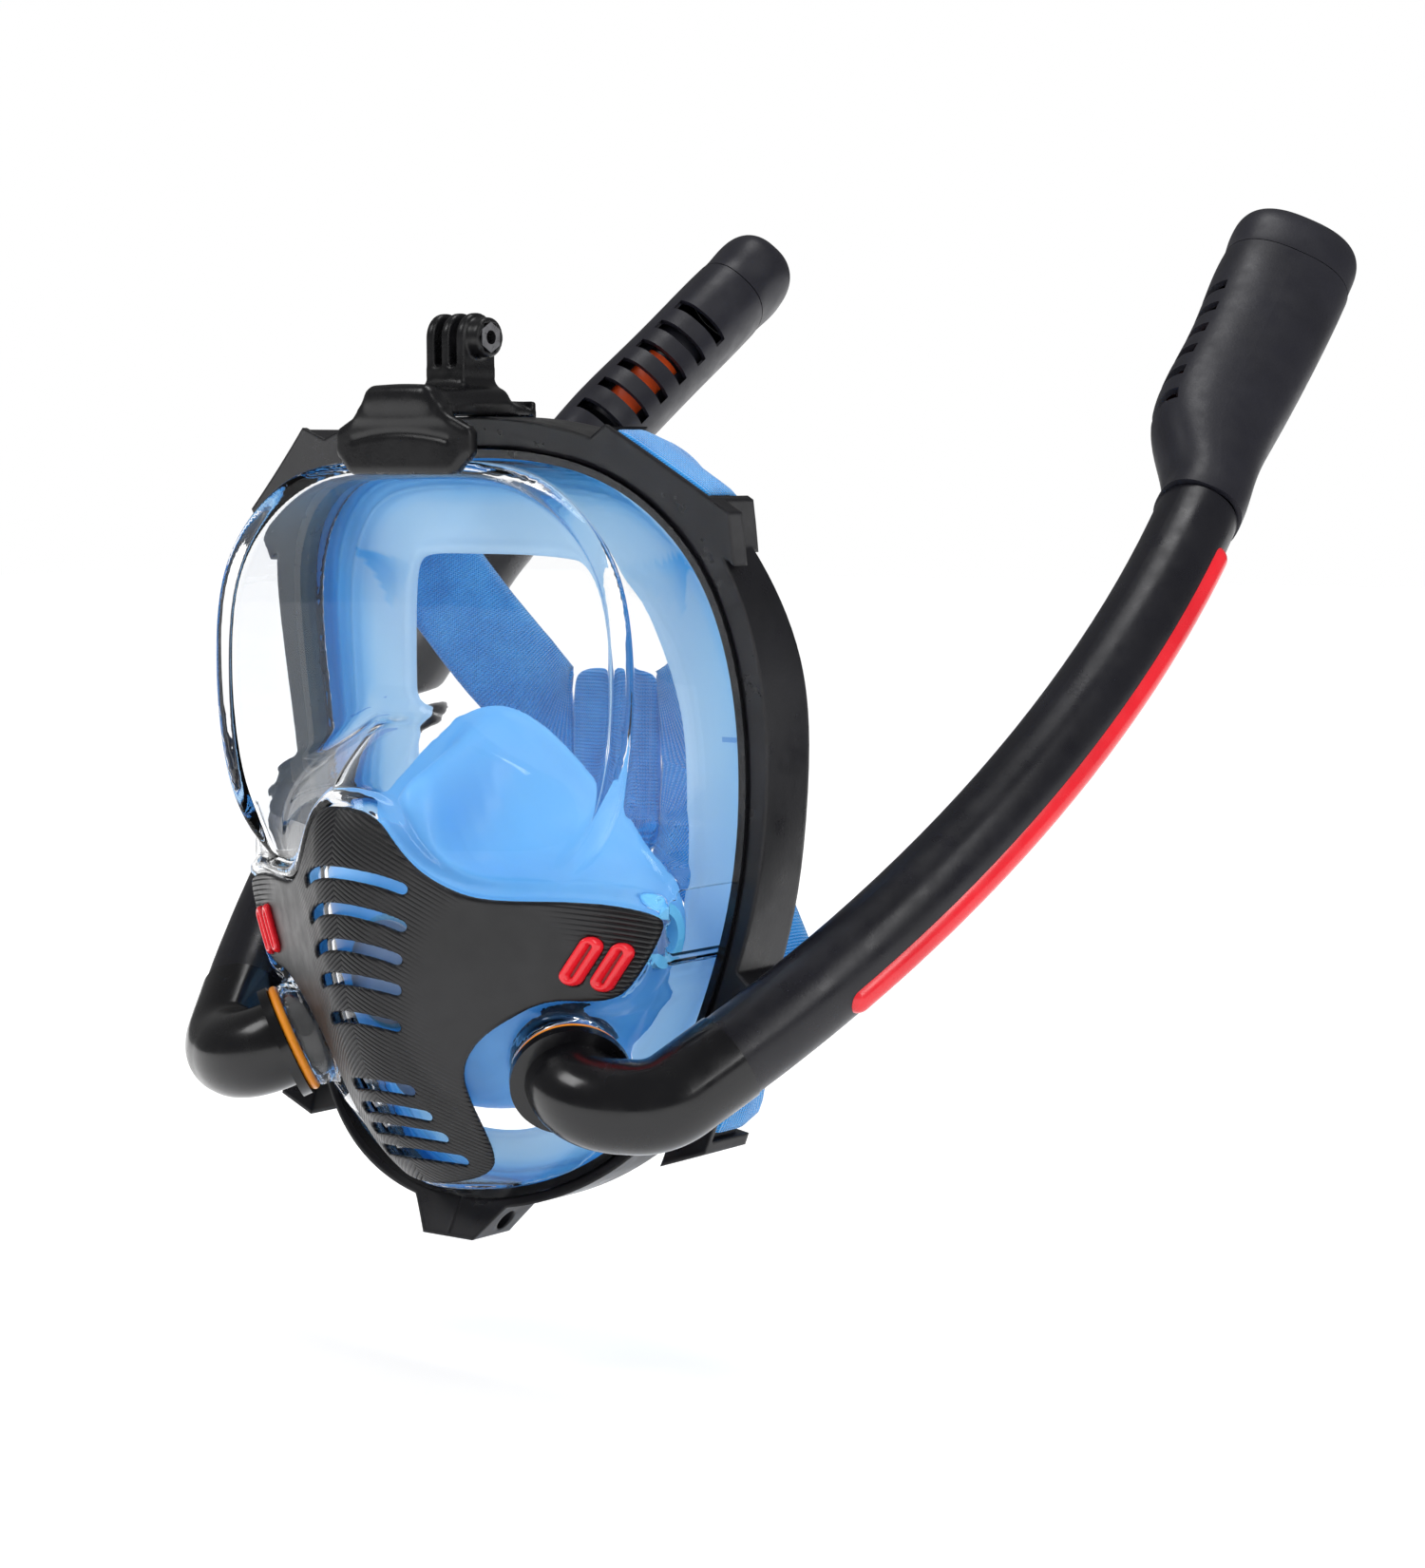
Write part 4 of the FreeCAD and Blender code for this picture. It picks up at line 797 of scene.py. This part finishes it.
def mount_piece():
    """Clip over the rim's crown: flared lip, saddle, three prongs and a boss with a hexagonal pocket."""
    g = Grid((-29, -27, 98), (29, 25, 151), 0.5)
    bow = LIP_BOW * g.x**2
    slab = np.maximum(LIP_FRONT + bow - g.y, g.y - LIP_BACK - bow)
    lip = smooth_max(plane_ring(mirror_half(LIP_HALF), g), slab, 2.4)
    crease = np.sqrt((g.z - 113.5 + 0.006 * g.x**2) ** 2 + (g.y - LIP_FRONT - bow + 0.2) ** 2) - 0.75
    lip = smooth_max(lip, -np.maximum(crease, np.abs(g.x) - 19), 0.8)
    taper = np.clip((g.y - LIP_FRONT) / 20, 0, 1)
    half = 16.5 - 3.5 * taper
    top = 125.6 - 0.02 * g.x**2 - 2.6 * np.clip((g.y - 10) / 12, 0, 1)
    saddle = smooth_max(np.maximum(np.abs(g.x) - half, g.z - top),
                        np.maximum(LIP_FRONT + 1 - g.y, g.y - HOOK_BACK), 4.0)
    saddle = smooth_max(saddle, DECK_FLOOR - g.z + 0 * saddle, 0.6)
    crown = rounded_box(g, (-12, LIP_FRONT, 121), (12, 12, DECK_TOP), 2.4)
    hook = rounded_box(g, (-13, 20.8, 112), (13, HOOK_BACK, 123), 1.0)
    body = smooth_min(smooth_min(lip, saddle, 4.0), crown, 4.0)
    body = smooth_min(body, hook, 1.5)
    foot = rounded_box(g, (-7.5, -4.4, 122), (7.5, 10.4, 133.5), 1.0)
    body = smooth_min(body, foot, 4.0)
    for index in (-1, 0, 1):
        low, high = index * FORK_PITCH - PRONG / 2, index * FORK_PITCH + PRONG / 2
        cheek = np.sqrt((g.y - FORK_DEPTH) ** 2 + (g.z - FORK_HEIGHT) ** 2) - FORK_ROUND
        stem = np.maximum(np.abs(g.y - FORK_DEPTH) - FORK_ROUND, np.maximum(130 - g.z, g.z - FORK_HEIGHT))
        prong = smooth_max(np.minimum(cheek, stem), np.maximum(low - g.x, g.x - high), 0.9)
        body = smooth_min(body, prong, 0.5)
    reach = np.sqrt((g.y - FORK_DEPTH) ** 2 + (g.z - FORK_HEIGHT) ** 2)
    end = BOSS_START + BOSS_LONG
    boss = smooth_max(reach - BOSS_ROUND, np.maximum(BOSS_START - 1 - g.x, g.x - end), 1.4)
    groove = np.sqrt((reach - 5.1) ** 2 + (g.x - end) ** 2) - 0.35
    body = smooth_min(body, smooth_max(boss, -groove, 0.3), 0.6)
    hexagon = np.full(g.shape, -1e9)
    for turn in range(3):
        angle = math.pi / 3 * turn
        across = np.abs((g.y - FORK_DEPTH) * math.sin(angle) + (g.z - FORK_HEIGHT) * math.cos(angle))
        hexagon = np.maximum(hexagon, across - NUT_FLATS / 2 - 0.1)
    pocket = np.maximum(hexagon, BOSS_START + 1 - g.x)
    bore = reach - FORK_BORE + 0 * g.x
    return field_mesh("camera_clip_moulding", smooth_max(body, -np.minimum(pocket, bore), 0.3), g, False, 2)


settle(mount_piece(), BLACK_MOUNT, body="camera_clip", stands_for=("camera_mount",))

# ---------------------------------------------------------------- silicone skirt and cup

FACE_HALF = [(0, 77), (22, 76.5), (38.5, 72), (49, 52), (54, 26), (55, 0),
             (54.5, -27), (50, -50), (43, -70), (33, -86), (19, -97), (0, -100)]
# Share of the way from the rim to the face opening, and distance behind the straight line between them.
SKIRT_FRONT = [
    (0.0, -4.6), (0.012, -5.2), (0.05, -5.2), (0.062, -4.6), (0.07, -1.2), (0.085, -0.4), (0.15, -0.2),
    (0.16, -1.4), (0.17, -1.8), (0.2, -1.8), (0.21, -1.4), (0.222, 0.2), (0.3, 0.5), (0.31, -0.9),
    (0.32, -1.2), (0.345, -1.2), (0.355, -0.9), (0.367, 0.9), (0.41, 1.3), (0.46, 1.6), (0.52, 1.9),
    (0.58, 2.0), (0.64, 2.0), (0.7, 1.9), (0.76, 1.7), (0.82, 1.3), (0.87, 0.8), (0.9, -0.2), (0.93, -0.6),
    (0.97, -0.6), (0.99, -0.2), (1.0, 0.6),
]
SKIRT_BACK = [
    (1.0, 1.5), (0.99, 2.1), (0.96, 2.4), (0.9, 2.8), (0.82, 3.7), (0.7, 4.3), (0.58, 4.5), (0.46, 4.2),
    (0.35, 3.4), (0.22, 2.7), (0.1, 2.6), (0.06, 3.4), (0.012, 3.9), (0.0, 3.3),
]
FOLD_CORNERS = [(66.0, 78.0), (41.0, 72.5), (59.0, 58.0)]
# The second number is painted shade on the darts: how far their tone moves towards the rim's deeper blue.
FOLD_RISE, FOLD_PAINTED_SHADE = 9.0, 0.22
BEAD_INSET, BEAD_DEPTH = -0.6, 13.0


def seal_depth_at(x, z):
    """Depth of the face seal: it wraps back round the cheeks and a little under the chin."""
    return 9.6 + 43 * (x / 64) ** 2 + 3 * np.maximum(0, -z) / 100


def fold_height(x, z):
    """Three-sided dart pressed into the forehead corners, zero outside its triangle."""
    (ax, az), (bx, bz), (cx, cz) = FOLD_CORNERS
    x = np.abs(x)
    whole = (bz - cz) * (ax - cx) + (cx - bx) * (az - cz)
    one = ((bz - cz) * (x - cx) + (cx - bx) * (z - cz)) / whole
    two = ((cz - az) * (x - cx) + (ax - cx) * (z - cz)) / whole
    least = np.minimum(np.minimum(one, two), 1 - one - two)
    return np.maximum(least, 0) * FOLD_RISE


def skirt_piece():
    """Stepped silicone skirt from the bead under the rim to the rolled lip round the face."""
    count = 420
    bead = ring_curve(mirror_half(grown(RIM_HALF, BEAD_INSET)), count)
    lip = ring_curve(mirror_half(FACE_HALF), count)
    start = rim_front(bead[:, 1]) + BEAD_DEPTH
    end = seal_depth_at(lip[:, 0], lip[:, 1])
    rings, shares = [], []
    for share, set_back in SKIRT_FRONT + SKIRT_BACK:
        flat = bead * (1 - share) + lip * share
        fold = fold_height(flat[:, 0], flat[:, 1])
        depth = start * (1 - share) + end * share + set_back + fold
        rings.append(np.stack([flat[:, 0], depth, flat[:, 1]], 1))
        # Painted shade on the darts: their tone share is moved towards the deeper blue.
        shares += list(share - FOLD_PAINTED_SHADE * (fold > 0))
    faces = loft_faces(len(rings), count)
    piece = new_mesh("face_skirt", np.concatenate(rings), faces, outwards=True)
    piece.data.attributes.new("inward_and_fold_shade", "FLOAT", "POINT").data.foreach_set("value", shares)
    return piece


# Depths of three outlines of the cup, from the face forwards.
CUP_STATIONS = [
    (20.0, [(0, 30), (15, 26.5), (30, 17), (45, 3), (59, -11), (68, -22), (71, -33), (66, -48),
            (56, -64), (44, -76), (26, -88), (12, -92), (0, -93)]),
    (0.0, [(0, 19), (8, 14), (13, 0), (21, -9), (36, -13), (52, -16), (66, -24), (63, -40),
           (55, -54), (45, -67), (32, -80), (16, -88), (0, -90)]),
    (-25.0, [(0, 8), (7, 3), (13, -10), (20, -16), (27, -20), (33, -25), (36, -32), (34, -42),
             (30, -51), (24, -59), (16, -66), (8, -70), (0, -71)]),
]
CUP_WALL, CUP_ROUNDING = 2.0, 9.0
EXHALE, EXHALE_HOLE = np.array([0.0, -33.0, -46.0]), 17.1
PURGE, PURGE_AXIS, PURGE_HOLE = np.array([0.0, -14.0, -79.4]), np.array([0.0, -0.767, -0.641]), 12.1
INHALE, INHALE_HOLE = np.array([0.0, 8.0, -34.0]), 10.1


def cup_piece():
    """Soft pocket over nose and mouth, open at the face, with a rolled edge."""
    g = Grid((0, -30, -97), (77, 23, 34), 0.9)
    rings = [ring_curve(mirror_half(half), OUTLINE_POINTS) for _, half in CUP_STATIONS]
    depths = [depth for depth, _ in CUP_STATIONS]
    levels = np.linspace(-31, 24, 12)
    slices = []
    for y in levels:
        y = min(max(y, depths[-1]), depths[0])
        ring = 0
        for i in range(3):
            others = [depths[k] for k in range(3) if k != i]
            whole = (depths[i] - others[0]) * (depths[i] - others[1])
            ring = ring + rings[i] * ((y - others[0]) * (y - others[1]) / whole)
        slices.append(flat_distance(ring, g.axes[0], g.axes[2]))
    side = np.empty(g.shape)
    for j, y in enumerate(g.axes[1]):
        place = (y - levels[0]) / (levels[1] - levels[0])
        i = min(int(place), len(levels) - 2)
        side[:, j, :] = slices[i] * (1 - (place - i)) + slices[i + 1] * (place - i)
    side = even(side, g.step)
    outer = smooth_max(side, depths[-1] - g.y + 0 * side, CUP_ROUNDING)
    shell = smooth_max(outer, -(outer + CUP_WALL), 0.4)
    shell = np.maximum(shell, g.y - 20)
    roll = np.sqrt((side + 1) ** 2 + (g.y - 19) ** 2) - 1.9
    shell = smooth_min(shell, roll, 1.5)
    holes = rod(g, EXHALE - [0, 6, 0], EXHALE + [0, 16, 0], EXHALE_HOLE)
    holes = np.minimum(holes, rod(g, PURGE - PURGE_AXIS * 12, PURGE + PURGE_AXIS * 12, PURGE_HOLE))
    holes = np.minimum(holes, rod(g, INHALE, INHALE + [80, 0, 0], INHALE_HOLE))
    return field_mesh("face_cup", smooth_max(shell, -holes, 0.6), g, True)


settle(skirt_piece(), SKIRT, stands_for=("skirt",))
settle(cup_piece(), CUP, stands_for=("orinasal_cup",))

# ---------------------------------------------------------------- straps

# Ends of each ear's bar and where along it the webbing sits.
UPPER_LUG = ((60.6, 115.5), (96.0, 90.0), 0.40)
LOWER_LUG = ((93.0, -50.0), (86.5, -96.0), 0.58)
STRAP_HALF, STRAP_THICK, STRAP_CURL, STRAP_SAG = 16.0, 2.0, 0.9, 1.1
# Round the bar: distance outwards from the ear's edge, and depth behind the rim's front.
STRAP_WRAP = [(-8.1, 17.0), (-8.2, 11.0), (-8.2, 5.2), (-7.8, 3.8), (-6.6, 3.3), (-4.6, 3.3), (-2.7, 3.3),
              (-1.5, 3.8), (-1.1, 5.2), (-1.1, 10.0), (-1.2, 14.0), (-2.2, 17.2)]
STRAP_MIDDLE = -4.65
PAD_CENTRE = np.array([0.0, 76.0, 10.0])
PAD_WIDE, PAD_TALL, PAD_THICK = 34.0, 58.0, 4.4


def swept(flat, depth):
    """Point (x, z) at a depth behind the rim's front, measured along the sweep's radius."""
    rise = flat[..., 1] - SWEEP_LEVEL
    y = SIDE_DEPTH - SWEEP_RADIUS + np.sqrt((SWEEP_RADIUS + depth) ** 2 - rise**2)
    return np.stack([flat[..., 0], y, flat[..., 1]], -1)


def run_length(points):
    """Metres from the first point to each point, along the line of points."""
    return np.concatenate([[0], np.cumsum(np.linalg.norm(np.diff(points, axis=0), axis=1))]) / 1000


def woven_strip(name, rows, thick):
    """Strip of webbing over a grid of points, rows along it, with thickness, soft edges and a weave map."""
    rows = np.array(rows)
    along = np.gradient(rows, axis=0)
    across = np.gradient(rows, axis=1)
    normal = np.cross(along, across)
    normal /= np.linalg.norm(normal, axis=2)[..., None]
    count, wide = rows.shape[:2]
    edge = np.minimum(np.arange(wide), np.arange(wide)[::-1])
    swell = thick / 2 * np.where(edge == 0, 0.35, np.where(edge == 1, 0.9, 1.0))[None, :, None]
    loop = np.concatenate([rows + normal * swell, (rows - normal * swell)[:, ::-1]], 1)
    ring = 2 * wide
    faces = []
    for i in range(count - 1):
        for j in range(ring):
            k = (j + 1) % ring
            faces.append((i * ring + j, i * ring + k, (i + 1) * ring + k, (i + 1) * ring + j))
    for i in (0, count - 1):
        for j in range(wide - 1):
            faces.append((i * ring + j, i * ring + j + 1, i * ring + ring - 2 - j, i * ring + ring - 1 - j))
    piece = new_mesh(name, loop.reshape(-1, 3), faces, outwards=True)
    long, breadth = run_length(rows[:, wide // 2]), run_length(rows[0])
    breadth = np.concatenate([breadth, breadth[::-1]])
    layer = piece.data.uv_layers.new(name="Weave")
    for loop_point in piece.data.loops:
        i, j = divmod(loop_point.vertex_index, ring)
        layer.data[loop_point.index].uv = (breadth[j], long[i])
    return piece


def strap_arm(name, lug, pad_spot, pad_across):
    """Webbing that wraps the ear's bar, turns as it runs back, and is sewn to the pad."""
    one, two = np.array(lug[0]), np.array(lug[1])
    along = (two - one) / np.linalg.norm(two - one)
    outward = np.array([-along[1], along[0]])
    outward = -outward if outward @ (one + two) < 0 else outward
    seat = one + (two - one) * lug[2]
    offsets = np.linspace(-STRAP_HALF, STRAP_HALF, 13)
    rows = []
    for reach, depth in open_curve(STRAP_WRAP, 60):
        rows.append(swept(seat + outward * reach + along * offsets[:, None], depth))
    middle = seat + outward * STRAP_MIDDLE
    ends = swept(middle + along * np.array([[-STRAP_HALF], [STRAP_HALF]]), 17.0)
    start, across = ends.mean(0), (ends[1] - ends[0]) / np.linalg.norm(ends[1] - ends[0])
    pad_across = pad_across / np.linalg.norm(pad_across)
    pad_across = -pad_across if across @ pad_across < 0 else pad_across
    handles = [start, start + [3, 32, 0], pad_spot + [24, -2, 0], pad_spot]
    for part in np.linspace(0.045, 1, 90):
        rest = 1 - part
        centre = (rest**3 * handles[0] + 3 * rest**2 * part * handles[1]
                  + 3 * rest * part**2 * handles[2] + part**3 * handles[3])
        run = 3 * (rest**2 * (handles[1] - handles[0]) + 2 * rest * part * (handles[2] - handles[1])
                   + part**2 * (handles[3] - handles[2]))
        turn = across * rest + pad_across * part
        turn -= run * (turn @ run) / (run @ run)
        turn /= np.linalg.norm(turn)
        curl = STRAP_CURL * math.sin(math.pi * part) ** 2
        turn = turn * math.cos(curl) + np.cross(run / np.linalg.norm(run), turn) * math.sin(curl)
        sag = np.array([0, 0, STRAP_SAG * math.sin(part * 3 * math.pi) * rest])
        rows.append(centre + turn * offsets[:, None] + sag * (offsets / STRAP_HALF)[:, None] ** 2)
    return woven_strip(name, rows, STRAP_THICK)


def pad_piece():
    """Padded junction of the four arms: crowned, drawn in along its stitched hem."""
    wide, tall = 25, 41
    u = np.sin(np.linspace(-math.pi / 2, math.pi / 2, wide))[None, :] + np.zeros((tall, 1))
    v = np.sin(np.linspace(-math.pi / 2, math.pi / 2, tall))[:, None] + np.zeros((1, wide))
    corner = 1 - 0.10 * (u * v) ** 4
    x, z = u * corner * PAD_WIDE / 2, v * corner * PAD_TALL / 2
    edge = np.minimum(PAD_WIDE / 2 - np.abs(x), PAD_TALL / 2 - np.abs(z))
    crown = np.sqrt(np.maximum(1 - np.abs(u) ** 8, 0)) * np.sqrt(np.maximum(1 - np.abs(v) ** 8, 0))
    seam = 1 - 0.3 * np.exp(-(((edge - 3.5) / 0.9) ** 2))
    swell = PAD_THICK / 2 * crown * seam
    top = np.stack([x, -swell, z], -1) + PAD_CENTRE
    low = np.stack([x, swell, z], -1) + PAD_CENTRE
    verts = np.concatenate([top.reshape(-1, 3), low.reshape(-1, 3)])
    shift = wide * tall
    faces = []
    for i in range(tall - 1):
        for j in range(wide - 1):
            a = i * wide + j
            quad = (a, a + 1, a + wide + 1, a + wide)
            faces.append(quad)
            faces.append(tuple(k + shift for k in reversed(quad)))
    piece = new_mesh("head_pad", verts, faces, outwards=True, weld=0.05)
    layer = piece.data.uv_layers.new(name="Weave")
    for loop_point in piece.data.loops:
        spot = piece.data.vertices[loop_point.vertex_index].co
        layer.data[loop_point.index].uv = (spot.x, spot.z)
    return piece


for level, lug, rise, lean in (("upper", UPPER_LUG, 13.0, -0.8), ("lower", LOWER_LUG, -13.0, 0.8)):
    spot = PAD_CENTRE + np.array([17.6, 0, rise])
    for hand in ("right", "left"):
        strap = strap_arm(f"webbing_{level}_{hand}", lug, spot, np.array([0.6, 0, lean]))
        if hand == "left":
            flip(strap)
        settle(strap, STRAP, stands_for=(f"strap_{level}_{hand}",))
pad = settle(pad_piece(), STRAP, stands_for=("strap_pad",))

# ---------------------------------------------------------------- camera, floor and light

CAMERA_TURN, CAMERA_RISE, CAMERA_ROLL = math.radians(37.72), math.radians(5.23), math.radians(-0.21)
CAMERA_AWAY, CAMERA_RIGHT, CAMERA_UP = 1083.8, 77.1, 7.51
SENSOR = 36.0
FOCAL = 3759.0 / 1650.0 * SENSOR
FLOOR_LEVEL, FLOOR_REACH = -0.175, 6.0
REFLECTED_ROOM = 0.16


def place_camera():
    """Camera aimed across the piece from its front right, a little above it."""
    level = math.cos(CAMERA_RISE)
    back = Vector((math.sin(CAMERA_TURN) * level, -math.cos(CAMERA_TURN) * level, math.sin(CAMERA_RISE)))
    right = Vector((math.cos(CAMERA_TURN), math.sin(CAMERA_TURN), 0))
    up = back.cross(right)
    c, s = math.cos(CAMERA_ROLL), math.sin(CAMERA_ROLL)
    right, up = right * c + up * s, up * c - right * s
    spot = back * CAMERA_AWAY + right * CAMERA_RIGHT + up * CAMERA_UP
    data = bpy.data.cameras.new("camera")
    data.lens, data.sensor_width, data.sensor_fit = FOCAL, SENSOR, "AUTO"
    data.clip_start, data.clip_end = 0.01, 50.0
    camera = bpy.data.objects.new("camera", data)
    bpy.context.scene.collection.objects.link(camera)
    turn = Matrix((right, up, back)).transposed().to_4x4()
    turn.translation = Vector(row(spot))
    camera.matrix_world = turn
    bpy.context.scene.camera = camera


def area_light(name, spot, aim, size, power):
    """Soft white box, in metres and watts."""
    data = bpy.data.lights.new(name, "AREA")
    data.shape, data.size, data.size_y = "RECTANGLE", size[0], size[1]
    data.energy = power
    lamp = bpy.data.objects.new(name, data)
    bpy.context.scene.collection.objects.link(lamp)
    lamp.location = spot
    lamp.rotation_mode = "QUATERNION"
    lamp.rotation_quaternion = (Vector(aim) - Vector(spot)).to_track_quat("-Z", "Y")


def studio():
    """Pale floor, a white room all round, and soft boxes."""
    floor = bpy.data.meshes.new("floor")
    corners = [(-1, -1), (1, -1), (1, 1), (-1, 1)]
    floor.from_pydata([(x * FLOOR_REACH, y * FLOOR_REACH, FLOOR_LEVEL) for x, y in corners],
                      [], [(0, 1, 2, 3)])
    plane = bpy.data.objects.new("floor", floor)
    bpy.context.scene.collection.objects.link(plane)
    t = Tree("floor_pale")
    tone = t.ramp(t.noise(3.0, 2.0), [(0.3, (0.90, 0.90, 0.90)), (0.7, (0.93, 0.93, 0.93))])
    shader = t.add("BsdfPrincipled", {"Base Color": tone, "Roughness": 0.9, "Specular IOR Level": 0.1,
                                      "Emission Color": (1, 1, 1, 1), "Emission Strength": 0.16})
    paint(plane, t.finish(shader.outputs["BSDF"]))
    world = bpy.data.worlds.new("world")
    bpy.context.scene.world = world
    world.use_nodes = True
    nodes, links = world.node_tree.nodes, world.node_tree.links
    path = nodes.new("ShaderNodeLightPath")
    # Reflections see a dimmer room than the eye does, so that black stays black.
    # The view through glass isn't dimmed.
    mirrored = nodes.new("ShaderNodeMath")
    mirrored.operation, mirrored.use_clamp = "SUBTRACT", True
    links.new(path.outputs["Is Glossy Ray"], mirrored.inputs[0])
    links.new(path.outputs["Is Transmission Ray"], mirrored.inputs[1])
    dim = nodes.new("ShaderNodeMapRange")
    dim.inputs["To Min"].default_value, dim.inputs["To Max"].default_value = 1.0, REFLECTED_ROOM
    links.new(mirrored.outputs[0], dim.inputs["Value"])
    links.new(dim.outputs["Result"], nodes["Background"].inputs["Strength"])
    nodes["Background"].inputs["Color"].default_value = (1.0, 1.0, 1.0, 1.0)
    area_light("key", (-0.9, -1.3, 1.5), (0, 0, 0), (0.7, 0.7), 9)
    area_light("right", (1.6, -0.5, 0.9), (0.05, 0, 0.05), (0.3, 1.4), 7)
    area_light("top", (0.1, 0.3, 1.8), (0, 0, 0), (0.9, 0.5), 8)


place_camera()
studio()
bpy.context.scene.view_settings.view_transform = "Standard"
